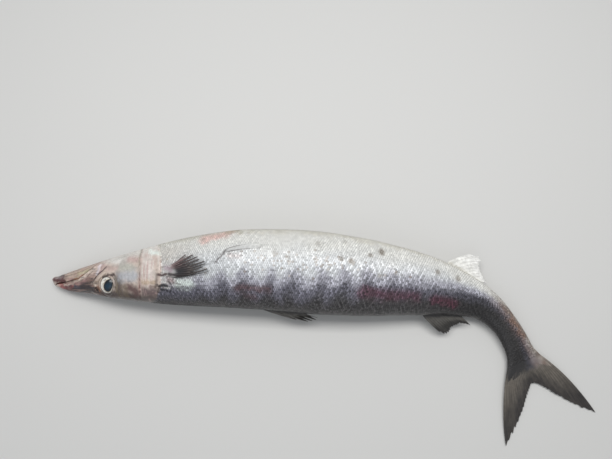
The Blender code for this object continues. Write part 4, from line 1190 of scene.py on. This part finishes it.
def closed_sheet(name, front, back, material):
    """Thin closed sheet between two grids of points, with its four edges walled, facing outwards."""
    faces = sheet_faces(*front.shape[:2])
    across = front[:-1, 1:] - front[:-1, :-1]
    along = front[1:, :-1] - front[:-1, :-1]
    facing = (np.cross(across, along) * (front - back)[:-1, :-1]).sum()
    if facing < 0:
        faces = faces[:, ::-1]
    points = np.concatenate([front.reshape(-1, 3), back.reshape(-1, 3)])
    return mesh_piece(name, points, [faces], material, 70)


def over_fin(across, reach, seed):
    """Smooth random patches over a fin, one lattice step for each unit of the two places."""
    return patchy(across, reach, 0 * across * reach, 1.0, seed)


def ray_grid(count, steps, reaches):
    """Places over a fin: across from its first ray to its last, and out from its root, closer at the tips."""
    across = np.linspace(0, 1, (count - 1) * steps + 1)[None, :]
    reach = (np.linspace(0, 1, reaches) ** 0.92)[:, None]
    return across, reach


def ray_height(across, reach, count, forks=True):
    """Height of the rays, 0 to 1: a bell over each ray, which forks at a third of its length and again near
    the margin."""
    from_ray = across * (count - 1)
    from_ray = np.abs(from_ray - np.round(from_ray)) + 0 * reach
    if not forks:
        return bell(from_ray, 0.10 - 0.03 * reach)
    near = np.abs(from_ray - 0.21 * ramp(0.34, 0.85, reach))
    near = np.abs(near - 0.085 * ramp(0.68, 1.0, reach))
    return bell(near, 0.115 - 0.062 * ramp(0.25, 0.95, reach))


def margin(across, count, gaps, uneven, seed):
    """For each place along a fin's margin: how far it is between two rays, 0 to 1, a random number from the
    range gaps for that gap, and the unevenness, from the range uneven for each ray and finely ragged."""
    rng = np.random.default_rng(seed)
    position = across * (count - 1)
    between = np.abs(position - np.round(position)) * 2
    gap = rng.uniform(*gaps, count)[np.minimum(position.astype(int), count - 1)]
    rough = np.interp(position, np.arange(count), rng.uniform(*uneven, count))
    ragged = np.interp(position * 9, np.arange(count * 9), rng.uniform(-1, 1, count * 9)) * 0.012
    return between, gap, rough + ragged


def ray_lengths(across, count, depth, sharp, jitter, seed):
    """Share of a ray's length that the margin reaches: less between the rays, by the depth, and uneven."""
    between, gap, uneven = margin(across, count, (0.55, 1.45), (-jitter, jitter), seed)
    return 1 - np.clip(depth * ramp(sharp, 1.0, between) * gap, 0, 0.8) + uneven


def strand_lengths(across, count, seed):
    """Share of its length that a torn fin reaches: whole along each ray, less than half between the rays."""
    between, torn, uneven = margin(across, count, (0.22, 0.60), (-0.07, 0.03), seed)
    return 1 + uneven - torn * ramp(0.24, 0.80, between)


def finish_fin(obj, across, reach, ridge, colour):
    """Colours, ray attributes and the map of a fin's two faces."""
    across, reach, ridge = (grid + np.zeros_like(ridge) for grid in (across, reach, ridge))
    give(obj, "colour", np.concatenate([colour.reshape(-1, 3)] * 2))
    spots = np.stack([across, reach, ridge], axis=-1).reshape(-1, 3)
    give(obj, "ray", np.concatenate([spots, spots]))
    places = np.stack([0.02 + 0.46 * across, 0.02 + 0.96 * reach], axis=-1).reshape(-1, 2)
    give_map(obj, np.concatenate([places, places + np.array([0.5, 0.0])]))
    return obj


def fin_colours(across, reach, ridge, count, tones, seed, flesh, root):
    """Colour over a fin from three tones, for membrane near the root, membrane at the margin and rays, and
    from the colour of the flesh beside it, which runs out over the fin as far as the root's share says."""
    inner, outer, ray = tones
    blotch = over_fin(across * count * 1.3, reach * 7, seed)
    fine = over_fin(across * count * 6, reach * 30, seed + 1)
    colour = lay(inner, outer, ramp(0.35, 0.95, reach) + 0.3 * blotch)
    colour = lay(colour, ray, 0.75 * ridge + 0.12 * fine)
    colour = colour * (1 + 0.10 * blotch + 0.06 * fine)[..., None]
    return lay(colour, flesh, ramp(root + 0.10, root - 0.08, reach + 0.05 * blotch + 0.03 * fine))


def median_fin(
    name, start, end, edge, lengths, leans, count, depth, droop, tones, seed, material, forks=True,
):
    """Fin in the fish's middle plane, on the back where edge is +1 and under the belly where it is -1.

    Each ray starts on the body's edge between start and end and runs out at its lean, which eases towards the
    tip. The sheet sags by droop * reach^2, ripples between its rays, and is thicker over them and at its
    root."""
    across, reach = ray_grid(count, 16 if forks else 26, 64)
    shape = np.linspace(0, 1, len(lengths))
    stations = (0, 0.12, 0.4, 0.8, 1) if forks else shape
    rays = LENGTH * smooth(stations, lengths, across) * ray_lengths(across, count, depth, 0.12, 0.03, seed)
    lean = np.radians(leans[0] + (leans[1] - leans[0]) * across) * (1 - 0.22 * reach)
    base_u = start + (end - start) * across
    base_v = section(base_u, 0.0)[0] if edge > 0 else -section(base_u, math.pi)[0]
    u = base_u + rays * reach * np.cos(lean) / LENGTH
    v = base_v - 1.6 * MM * (1 - ramp(0, 0.08, reach)) + rays * reach * np.sin(lean)
    ridge = ray_height(across, reach, count, forks)
    proud = 0.42 if edge > 0 else 0.16
    thick = (0.22 + proud * ridge * (1 - 0.6 * reach) + 1.9 * (1 - ramp(0, 0.26, reach)) ** 2) * MM
    wave = over_fin(across * count * 0.5, reach * 2.2, seed + 7) * 1.1
    slack = (0.35 * ridge + wave) * ramp(0.1, 0.7, reach)
    middle = -droop * reach**2 + slack * MM
    taper = 1 - 0.9 * bell(across * (count - 1), 0.12) - 0.9 * bell((1 - across) * (count - 1), 0.12)
    half = thick * np.clip(taper, 0.25, 1) / 2
    obj = closed_sheet(name, place(u, edge * v, middle + half), place(u, edge * v, middle - half), material)
    flesh = skin_colour(base_u, np.full_like(base_u, 0.25 if edge > 0 else math.pi - 0.25))
    colour = fin_colours(across, reach, ridge, count, tones, seed, flesh, 0.08)
    return finish_fin(obj, across, reach, ridge, colour)


# Tail fin: how many rays, their lengths as shares of the standard length, in its middle and what the lobes
# add, and the seeds of its margin, its waves and its colours
TAIL_RAYS = 31
TAIL_MIDDLE = 0.056
TAIL_LOBES = 0.106
TAIL_MARGIN_SEED = 11
TAIL_WAVE_SEED = 71
TAIL_COLOUR_SEED = 31


def tail_fin(material):
    """Forked tail fin: rays fan from the tail's root and curve back at their tips.

    A ray's length is TAIL_MIDDLE + TAIL_LOBES * |lobe|^1.7, so that the outer rays are the longest."""
    count = TAIL_RAYS
    across, reach = ray_grid(count, 11, 84)
    lobe = 2 * across - 1
    spread = np.abs(lobe)
    torn = ray_lengths(across, count, 0.030, 0.1, 0.010, TAIL_MARGIN_SEED)
    rays = LENGTH * (TAIL_MIDDLE + TAIL_LOBES * spread**1.7) * torn
    root = 0.93 * section(1.0, 0.0)[0]
    angle = np.sign(lobe) * np.radians(2 + 34 * spread**1.2) * (1 - 0.32 * reach)
    u = 0.994 + (0.006 * LENGTH * ramp(0, 0.1, reach) + rays * reach * np.cos(angle)) / LENGTH
    v = root * lobe + rays * reach * np.sin(angle)
    ridge = ray_height(across, reach, count)
    wave = over_fin(across * 5, reach * 2.2, TAIL_WAVE_SEED) * 0.7
    thick = (0.25 + 0.62 * ridge * (1 - 0.65 * reach) + 1.6 * (1 - ramp(0, 0.35, reach))) * MM
    thick = thick * (0.35 + 0.65 * ramp(0, 0.02, across) * ramp(0, 0.02, 1 - across))
    middle = wave * ramp(0.15, 0.9, reach) * MM
    front, back = place(u, v, middle + thick / 2), place(u, v, middle - thick / 2)
    front[..., 2] = np.maximum(front[..., 2], 0.25 * MM)
    back[..., 2] = np.maximum(back[..., 2], 0.0)
    obj = closed_sheet("tail_fin", front, back, material)
    near = np.minimum(u, 1.03)
    flesh = skin_colour(near, angle_at(near, v))
    root_share = 0.030 * LENGTH / rays
    colour = fin_colours(across, reach, ridge, count, TAIL_TONES, TAIL_COLOUR_SEED, flesh, root_share)
    return finish_fin(obj, across, reach, ridge, colour)


# Rays of the paired fins
PECTORAL_RAYS = 11
PELVIC_RAYS = 6


def flank_sheets(side, u, phi, inner, thick):
    """Outer and inner faces of a fin that lies against the flank, clear of the floor."""
    sheets = []
    for out, least in ((inner + thick, 0.0), (inner, 0.2 * MM)):
        v_out, w_out = section(u, phi, out)
        points = place(u, v_out, side * w_out)
        points[..., 2] = np.maximum(points[..., 2], least)
        sheets.append(points)
    return sheets


def rayed(ridge, reach, proud, root, root_end):
    """Thickness of a paired fin: thin, but for its rays, which flatten towards the tip, and its root."""
    return 0.22 + proud * ridge * (1 - 0.6 * reach) + root * (1 - ramp(0, root_end, reach)) ** 1.5


def pectoral_fin(name, side, lift, seed, material):
    """Fan of long rays lying back along the flank, whose torn membrane leaves their outer halves as strands.

    Each ray is a curve with three guides, its root, a point that it bends towards, and its tip:
    (1 - t)^2 root + 2 t (1 - t) bend + t^2 tip."""
    count = PECTORAL_RAYS
    across, reach = ray_grid(count, 22 if side > 0 else 12, 76 if side > 0 else 34)
    along = reach * strand_lengths(across, count, seed)
    root_x, root_y = 171.6 + 1.6 * across, -2.0 - 9.5 * across
    bend_x, bend_y = (smooth(PECTORAL_AT, values, across) for values in PECTORAL_BEND)
    tip_x, tip_y = (np.interp(across, PECTORAL_AT, values) for values in PECTORAL_TIP)
    first, second, third = (1 - along) ** 2, 2 * along * (1 - along), along**2
    u = (root_x * first + bend_x * second + tip_x * third) * MM / LENGTH
    v = (root_y * first + bend_y * second + tip_y * third) * MM
    phi = angle_at(u, v)
    position = across * (count - 1)
    ridge = bell(np.abs(position - np.round(position)) + 0 * reach, 0.20)
    wave = over_fin(across * 7, reach * 2.5, seed) * 0.45
    loose = np.interp(position, np.arange(count), np.random.default_rng(seed).uniform(0, 0.9, count))
    inner = (-0.7 + 1.15 * ramp(0, 0.12, reach) + (wave + 0.3 * ridge) * ramp(0.2, 1, reach)) * MM
    inner = inner + lift * ramp(0.05, 1, reach) + loose * MM * ramp(0.4, 1, reach)
    root = 1.6 if side > 0 else 0.4
    thick = rayed(ridge, reach, 0.42, root, 0.36) * MM
    thick = thick * (0.3 + 0.7 * ramp(0, 0.03, across) * ramp(0, 0.03, 1 - across))
    obj = closed_sheet(name, *flank_sheets(side, u, phi, inner, thick), material)
    blotch = over_fin(across * 9, reach * 6, seed + 2)
    fine = over_fin(across * count * 5, reach * 24, seed + 3)
    core = bell(across - 0.42, 0.26) * ramp(0.66, 0.42, along)
    colour = lay(FIN_UMBER, FIN_MAUVE, ramp(0.55, 0.85, across + 0.1 * blotch))
    colour = lay(colour, FIN_NAVY, core * (0.92 + 0.2 * blotch))
    colour = lay(colour, FIN_PALE, 0.6 * ramp(0.45, 0.75, along + 0.1 * blotch))
    colour = lay(colour, FIN_STRAND, (0.75 + 0.2 * blotch) * bell(1 - ridge, 0.75) * ramp(0.16, 0.34, along))
    # Painted shadow along the fin's edge towards the back
    colour = lay(colour, INK, 0.75 * bell(across, 0.12) * ramp(0.22, 0.36, along))
    colour = colour * (1 + 0.10 * blotch + 0.08 * fine)[..., None]
    fleshy = 0.20 + 0.06 * bell(across, 0.2)
    at_root = ramp(fleshy + 0.09, fleshy - 0.09, along + 0.05 * blotch)
    colour = lay(colour, skin_colour(u, phi), at_root)
    return finish_fin(obj, across, reach, ridge, colour)


def pelvic_fin(name, side, seed, material):
    """Small pale fan lying back along the edge of the belly, with a dark ray along each edge."""
    count = PELVIC_RAYS
    across, reach = ray_grid(count, 22 if side > 0 else 12, 50)
    rays = LENGTH * smooth((0, 0.3, 1), (0.056, 0.058, 0.040), across)
    rays = rays * ray_lengths(across, count, 0.10, 0.15, 0.04, seed)
    angle = np.radians(9 + 8 * across) * (1.25 - 0.5 * reach)
    u = 0.371 + (0.003 * LENGTH * ramp(0, 0.1, reach) + rays * reach * np.cos(angle)) / LENGTH
    phi = np.radians(117.5 + 5 * across) + rays * reach * np.sin(angle) / 0.045
    ridge = ray_height(across, reach, count)
    wave = over_fin(across * 3, reach * 2.5, seed) * 0.4
    lifted = 1.25 * ramp(0, 0.16, reach) + 0.12 * ramp(0.1, 1, reach)
    inner = (-0.9 + lifted + wave * ramp(0.2, 1, reach)) * MM
    thick = rayed(ridge, reach, 0.30, 0.9, 0.34) * MM
    obj = closed_sheet(name, *flank_sheets(side, u, phi, inner, thick), material)
    colour = (0.84 + 0.13 * ramp(0.3, 0.9, reach) + 0 * across)[..., None] * skin_colour(u, phi)
    colour = lay(colour, PALE_TONES[1], 0.35 * ridge * bell(across - 0.55, 0.3))
    rim = np.maximum(0.85 * bell(across, 0.12), 0.85 * bell(1 - across, 0.12))
    colour = lay(colour, FIN_UMBER, rim * ramp(0.02, 0.10, reach) * ramp(0.95, 0.35, reach))
    return finish_fin(obj, across, reach, ridge, colour)


# Height of the finest relief in the materials: pores and wrinkles, and the streaks of the eye
SKIN_BUMP = 0.35 * MM
SCALE_BUMP = 0.10 * MM
EYE_BUMP = 0.30 * MM
FIN_BUMP = 0.22 * MM


def group_of(name, inputs, outputs):
    """New shader node group with the named sockets, and its first and last nodes."""
    tree = bpy.data.node_groups.new(name, "ShaderNodeTree")
    for socket, kind, value in inputs:
        made = tree.interface.new_socket(socket, in_out="INPUT", socket_type="NodeSocket" + kind)
        if value is not None:
            made.default_value = value
    for socket, kind in outputs:
        tree.interface.new_socket(socket, in_out="OUTPUT", socket_type="NodeSocket" + kind)
    return tree, tree.nodes.new("NodeGroupInput"), tree.nodes.new("NodeGroupOutput")


def add(tree, kind, **values):
    """Node of that kind. Values are its settings, or inputs by name, given as numbers or as sockets."""
    node = tree.nodes.new("ShaderNode" + kind)
    for name, value in values.items():
        if hasattr(node, name) and not name[0].isupper():
            setattr(node, name, value)
            continue
        fit(tree, node.inputs[name.replace("_", " ")], value)
    return node


def fit(tree, socket, value):
    """Sets a socket, or links another socket to it."""
    if isinstance(value, bpy.types.NodeSocket):
        tree.links.new(value, socket)
    else:
        socket.default_value = value


def sums(tree, operation, first, second=0.5, third=None):
    """Math node on numbers or sockets."""
    node = tree.nodes.new("ShaderNodeMath")
    node.operation = operation
    for k, value in enumerate((first, second, third)):
        if value is not None:
            fit(tree, node.inputs[k], value)
    return node.outputs[0]


def blend_colour(tree, share, first, second, how="MIX"):
    """Mix of two colours."""
    node = tree.nodes.new("ShaderNodeMix")
    node.data_type = "RGBA"
    node.blend_type = how
    node.clamp_factor = True
    fit(tree, node.inputs[0], share)
    fit(tree, node.inputs[6], first)
    fit(tree, node.inputs[7], second)
    return node.outputs[2]


def noise(tree, where, scale, detail=2.0, rough=0.5):
    """Noise at the coordinates, as many waves to a metre as the scale says."""
    node = add(tree, "TexNoise", Vector=where, Scale=scale, Detail=detail, Roughness=rough)
    return node.outputs["Fac"]


def span(tree, value, low, high, to_low=0.0, to_high=1.0):
    """Value carried smoothly from one range to another."""
    node = tree.nodes.new("ShaderNodeMapRange")
    node.interpolation_type = "SMOOTHSTEP"
    for k, number in enumerate((value, low, high, to_low, to_high)):
        fit(tree, node.inputs[k], number)
    return node.outputs[0]


def times(tree, colour, strength):
    """The colour made lighter or darker by a strength, 1 for no change."""
    grey = add(tree, "CombineColor", Red=strength, Green=strength, Blue=strength)
    return blend_colour(tree, 1.0, colour, grey.outputs[0], "MULTIPLY")


def mottling_group():
    """Colour with fine darker speckles and soft lighter patches, as on wet skin seen close."""
    tree, start, end = group_of(
        "skin_mottling",
        [("Colour", "Color", None), ("Coordinates", "Vector", None), ("Speckle", "Float", 0.2),
         ("Patches", "Float", 0.2)],
        [("Colour", "Color"), ("Speckles", "Float")],
    )
    where = start.outputs["Coordinates"]
    dots = span(tree, noise(tree, where, 1400, 2.0), 0.50, 0.68)
    specks = span(tree, noise(tree, where, 3600, 1.0), 0.52, 0.70)
    speckles = sums(tree, "ADD", sums(tree, "MULTIPLY", dots, 0.6), sums(tree, "MULTIPLY", specks, 0.4))
    soft = span(tree, noise(tree, where, 210, 4.0, 0.6), 0.35, 0.65, 1.0, -1.0)
    amount = sums(tree, "MULTIPLY", speckles, start.outputs["Speckle"])
    lift = sums(tree, "MULTIPLY_ADD", soft, start.outputs["Patches"], 1.0)
    strength = sums(tree, "MULTIPLY", sums(tree, "SUBTRACT", 1.0, amount), lift)
    fit(tree, end.inputs["Colour"], times(tree, start.outputs["Colour"], strength))
    fit(tree, end.inputs["Speckles"], speckles)
    return tree


def wet_group():
    """Roughness and height of wet skin: pores, fine wrinkles, and smears of slime that are smoother."""
    tree, start, end = group_of(
        "wet_surface",
        [("Coordinates", "Vector", None), ("Dry", "Float", 0.45), ("Wet", "Float", 0.2)],
        [("Roughness", "Float"), ("Height", "Float")],
    )
    where = start.outputs["Coordinates"]
    smear = span(tree, noise(tree, where, 90, 3.0, 0.6), 0.38, 0.62)
    between = sums(tree, "SUBTRACT", start.outputs["Wet"], start.outputs["Dry"])
    fit(tree, end.inputs["Roughness"], sums(tree, "MULTIPLY_ADD", smear, between, start.outputs["Dry"]))
    pores = noise(tree, where, 2600, 2.0)
    folds = noise(tree, where, 520, 4.0, 0.62)
    soft = noise(tree, where, 150, 2.0)
    height = sums(tree, "ADD", sums(tree, "MULTIPLY", pores, 0.22), sums(tree, "MULTIPLY", folds, 0.5))
    fit(tree, end.inputs["Height"], sums(tree, "ADD", height, sums(tree, "MULTIPLY", soft, 0.9)))
    return tree


def attribute(tree, name, output="Fac"):
    """The values of one of the mesh's attributes."""
    node = tree.nodes.new("ShaderNodeAttribute")
    node.attribute_name = name
    return node.outputs[output]


def place_group(tree, group, **values):
    """The outputs of a node group, placed in a material with its own values."""
    node = tree.nodes.new("ShaderNodeGroup")
    node.node_tree = group
    for name, value in values.items():
        fit(tree, node.inputs[name], value)
    return node.outputs


def new_material(name, **settings):
    """Material with one Principled shader, whose plain values are set on its own sockets."""
    material = bpy.data.materials.new(name)
    material.use_nodes = True
    tree = material.node_tree
    tree.nodes.clear()
    shader = tree.nodes.new("ShaderNodeBsdfPrincipled")
    output = tree.nodes.new("ShaderNodeOutputMaterial")
    tree.links.new(shader.outputs[0], output.inputs["Surface"])
    for socket, value in settings.items():
        shader.inputs[socket.replace("_", " ")].default_value = value
    where = tree.nodes.new("ShaderNodeTexCoord").outputs["Object"]
    return material, tree, shader, where


def bump(tree, shader, height, distance):
    """Gives the shader a height up to that distance in metres."""
    node = add(tree, "Bump", Height=height, Distance=distance, Strength=1.0)
    tree.links.new(node.outputs[0], shader.inputs["Normal"])


def speckled_paint(tree, mottling, where, speckle, patches):
    """The piece's painted colours with speckles and patches over them."""
    paint = attribute(tree, "colour", "Color")
    return place_group(tree, mottling, Colour=paint, Coordinates=where, Speckle=speckle, Patches=patches)


def wet_film(tree, shader, wet, where, dry, slimy):
    """Gives the shader the roughness of a wet surface, and returns the height of its pores and wrinkles."""
    film = place_group(tree, wet, Coordinates=where, Dry=dry, Wet=slimy)
    tree.links.new(film["Roughness"], shader.inputs["Roughness"])
    return film["Height"]


def skin_material(mottling, wet):
    """Wet bare skin: painted colours, speckled, darkened by painted shade in its creases, and deep red inside
    the mouth.
    """
    material, tree, shader, where = new_material(
        "wet_skin", Coat_Weight=0.35, Coat_Roughness=0.12, Specular_IOR_Level=0.5)
    paint = speckled_paint(tree, mottling, where, 0.14, 0.08)
    # Painted shade: the paint darkens towards a shade brown where the relief sinks into creases
    crease_shade_share = sums(tree, "MULTIPLY", attribute(tree, "painted_crease_shade"), 0.72)
    crease_shaded = blend_colour(tree, crease_shade_share, paint["Colour"], (*CREASE_SHADE, 1))
    inside = blend_colour(tree, attribute(tree, "inside"), crease_shaded, (*MOUTH_RED, 1))
    tree.links.new(inside, shader.inputs["Base Color"])
    pores = wet_film(tree, shader, wet, where, 0.46, 0.26)
    height = sums(tree, "SUBTRACT", pores, sums(tree, "MULTIPLY", paint["Speckles"], 0.15))
    bump(tree, shader, height, SKIN_BUMP)
    return material


def scale_material(mottling, wet):
    """Wet scale: its middle lightened as a painted silver sheen, dark along its free edge, and a little
    unlike its neighbours.

    Its strength is bright * (1 + edging * (0.35 - 1.35 * edge)), with edge 0 at the root and 1 at the rim."""
    material, tree, shader, where = new_material(
        "wet_scale", Coat_Weight=0.20, Coat_Roughness=0.20, Metallic=0.10, Specular_IOR_Level=0.4)
    parts = add(tree, "SeparateXYZ", Vector=attribute(tree, "scale", "Vector"))
    tone, reach, side = (parts.outputs[k] for k in range(3))
    paint = speckled_paint(tree, mottling, where, 0.16, 0.06)
    edge = span(tree, sums(tree, "ADD", reach, sums(tree, "MULTIPLY", side, 0.16)), 0.70, 1.00)
    bright = span(tree, tone, 0.0, 1.0, 0.89, 1.07)
    # Painted sheen lightens the scale's middle, and its free edge is darkened as pigment
    sheen_and_rim = sums(tree, "MULTIPLY_ADD", edge, -1.35, 0.35)
    sheen_and_rim_strength = sums(tree, "MULTIPLY_ADD", sheen_and_rim, attribute(tree, "edging"), 1.0)
    colour = times(tree, paint["Colour"], sums(tree, "MULTIPLY", bright, sheen_and_rim_strength))
    tree.links.new(colour, shader.inputs["Base Color"])
    bump(tree, shader, wet_film(tree, shader, wet, where, 0.50, 0.32), SCALE_BUMP)
    return material


def eye_material():
    """Clear wet cornea over a ring and pupil with fine streaks."""
    material, tree, shader, where = new_material(
        "wet_eye", Coat_Weight=0.6, Coat_Roughness=0.02, Roughness=0.35, Specular_IOR_Level=0.25)
    fine = span(tree, noise(tree, where, 900, 3.0), 0.35, 0.65, 0.90, 1.08)
    tree.links.new(times(tree, attribute(tree, "colour", "Color"), fine), shader.inputs["Base Color"])
    height = sums(tree, "SUBTRACT", noise(tree, where, 700, 3.0), attribute(tree, "inside"))
    bump(tree, shader, height, EYE_BUMP)
    return material


def fin_material(name, mottling, wet, rough, coat, jointed):
    """Damp fin membrane: painted colours with speckles, and fine cross joints sin(260 reach) on the rays."""
    material, tree, shader, where = new_material(
        name, Coat_Weight=coat, Coat_Roughness=0.2, Specular_IOR_Level=0.5)
    parts = add(tree, "SeparateXYZ", Vector=attribute(tree, "ray", "Vector"))
    reach, ridge = parts.outputs[1], parts.outputs[2]
    joints = sums(tree, "SINE", sums(tree, "MULTIPLY", reach, 260.0))
    joint = sums(tree, "MULTIPLY", span(tree, joints, 0.5, 1.0), ridge)
    paint = speckled_paint(tree, mottling, where, 0.25, 0.12)
    colour = blend_colour(tree, sums(tree, "MULTIPLY", joint, jointed), paint["Colour"], (*JOINT_DARK, 1))
    tree.links.new(colour, shader.inputs["Base Color"])
    wrinkles = wet_film(tree, shader, wet, where, rough, rough - 0.18)
    bump(tree, shader, sums(tree, "SUBTRACT", wrinkles, sums(tree, "MULTIPLY", joint, 0.5)), FIN_BUMP)
    return material


# Floor: half its side and how far it lies under the fish, both in metres
FLOOR_REACH = 6.0
FLOOR_GAP = 0.3 * MM

# Camera at the photograph's place over the fish: place, degrees away from straight down, and lens and width
# of the sensor in millimetres
CAMERA_AT = (-0.01648, 0.03831, 0.622)
CAMERA_TILT = 9.6
CAMERA_LENS = 27.06
CAMERA_SENSOR = 36

# Soft light: a long key lamp past the belly and a fill behind the back, each with its place, long and short
# side, watts and tint, and a pale sky
LAMPS = (
    ("key", (0.0, 0.48, 1.22), 1.5, 0.4, 13.6, (1.0, 0.99, 0.97)),
    ("fill", (-0.5, -0.9, 1.3), 1.2, 1.2, 2.5, (0.93, 0.96, 1.0)),
)
LAMPS_AIM = (0.0, 0.0, 0.03)
SKY_TINT = (0.95, 0.97, 1.0, 1)
SKY_STRENGTH = 0.38


def floor():
    """Plain pale floor."""
    corners = [(-1, -1), (1, -1), (1, 1), (-1, 1)]
    points = np.array([(FLOOR_REACH * x, FLOOR_REACH * y, -FLOOR_GAP) for x, y in corners])
    material = new_material("pale_floor", Roughness=0.7, Base_Color=(0.62, 0.62, 0.61, 1))[0]
    mesh_piece("floor", points, [np.array([[0, 1, 2, 3]])], material)


def light(name, at, long, wide, power, tint):
    """Soft area lamp at a place, aimed at the fish."""
    lamp = bpy.data.lights.new(name, "AREA")
    lamp.shape = "RECTANGLE"
    lamp.size, lamp.size_y = long, wide
    lamp.energy = power
    lamp.color = tint
    obj = bpy.data.objects.new(name, lamp)
    obj.location = at
    obj.rotation_euler = (Vector(LAMPS_AIM) - Vector(at)).to_track_quat("-Z", "Y").to_euler()
    bpy.context.scene.collection.objects.link(obj)


def studio():
    """World light, lamps, and the camera at the photograph's angle."""
    scene = bpy.context.scene
    world = bpy.data.worlds.new("studio")
    world.use_nodes = True
    sky = world.node_tree.nodes["Background"]
    sky.inputs["Color"].default_value = SKY_TINT
    sky.inputs["Strength"].default_value = SKY_STRENGTH
    scene.world = world
    for lamp in LAMPS:
        light(*lamp)
    scene.view_settings.view_transform = "Standard"
    camera = bpy.data.cameras.new("camera")
    camera.sensor_width = CAMERA_SENSOR
    camera.lens = CAMERA_LENS
    camera.clip_start = 0.01
    obj = bpy.data.objects.new("camera", camera)
    obj.location = CAMERA_AT
    obj.rotation_euler = (math.radians(CAMERA_TILT), 0, 0)
    scene.collection.objects.link(obj)
    scene.camera = obj


def stand_for(piece, slot, *nodes):
    """The piece rides on the fish and stands for those solids, which are hidden. The slot is not used."""
    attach(piece, "root")
    if nodes:
        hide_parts(*nodes)


def main():
    mottling, wet = mottling_group(), wet_group()
    dark = fin_material("dark_fin", mottling, wet, rough=0.50, coat=0.25, jointed=0.35)
    pale = fin_material("pale_fin", mottling, wet, rough=0.45, coat=0.30, jointed=0.08)
    tail = fin_material("tail_fin", mottling, wet, rough=0.50, coat=0.25, jointed=0.35)
    stand_for(skin(skin_material(mottling, wet)), "head_skin", "head", "lower_jaw", "gill_cover_right",
              "gill_cover_left", "trunk", "tail_stock", "peduncle")
    for coat in scales(scale_material(mottling, wet)):
        stand_for(coat, "body_scales")
    clear = eye_material()
    stand_for(eye("eyeball_right", 1, clear), "eye", "eye_right")
    stand_for(eye("eyeball_left", -1, clear), "eye", "eye_left")
    spiny = median_fin(
        "spiny_fin", 0.435, 0.520, edge=1, lengths=(0.070, 0.072, 0.060, 0.044, 0.026), leans=(17, 20),
        count=5, depth=0.32, droop=3 * MM, tones=DARK_TONES, seed=3, material=dark, forks=False)
    stand_for(spiny, "dark_fin", "first_dorsal_fin")
    soft = median_fin(
        "soft_fin", 0.752, 0.838, edge=1, lengths=(0.052, 0.060, 0.042, 0.028, 0.034), leans=(38, 20),
        count=14, depth=0.06, droop=2 * MM, tones=DARK_TONES, seed=5, material=dark)
    stand_for(soft, "dark_fin", "second_dorsal_fin")
    belly = median_fin(
        "belly_fin", 0.784, 0.852, edge=-1, lengths=(0.050, 0.057, 0.037, 0.018, 0.012), leans=(46, 30),
        count=10, depth=0.04, droop=3 * MM, tones=PALE_TONES, seed=7, material=pale)
    stand_for(belly, "pale_fin", "anal_fin")
    stand_for(tail_fin(tail), "tail_fin", "caudal_fin")
    stand_for(pectoral_fin("flank_fin_right", 1, lift=2.4 * MM, seed=17, material=dark), "dark_fin",
              "pectoral_fin_right")
    stand_for(pectoral_fin("flank_fin_left", -1, lift=0.0, seed=19, material=dark), "dark_fin",
              "pectoral_fin_left")
    stand_for(pelvic_fin("under_fin_right", 1, seed=23, material=pale), "pale_fin", "pelvic_fin_right")
    stand_for(pelvic_fin("under_fin_left", -1, seed=29, material=pale), "pale_fin", "pelvic_fin_left")
    floor()
    studio()


main()
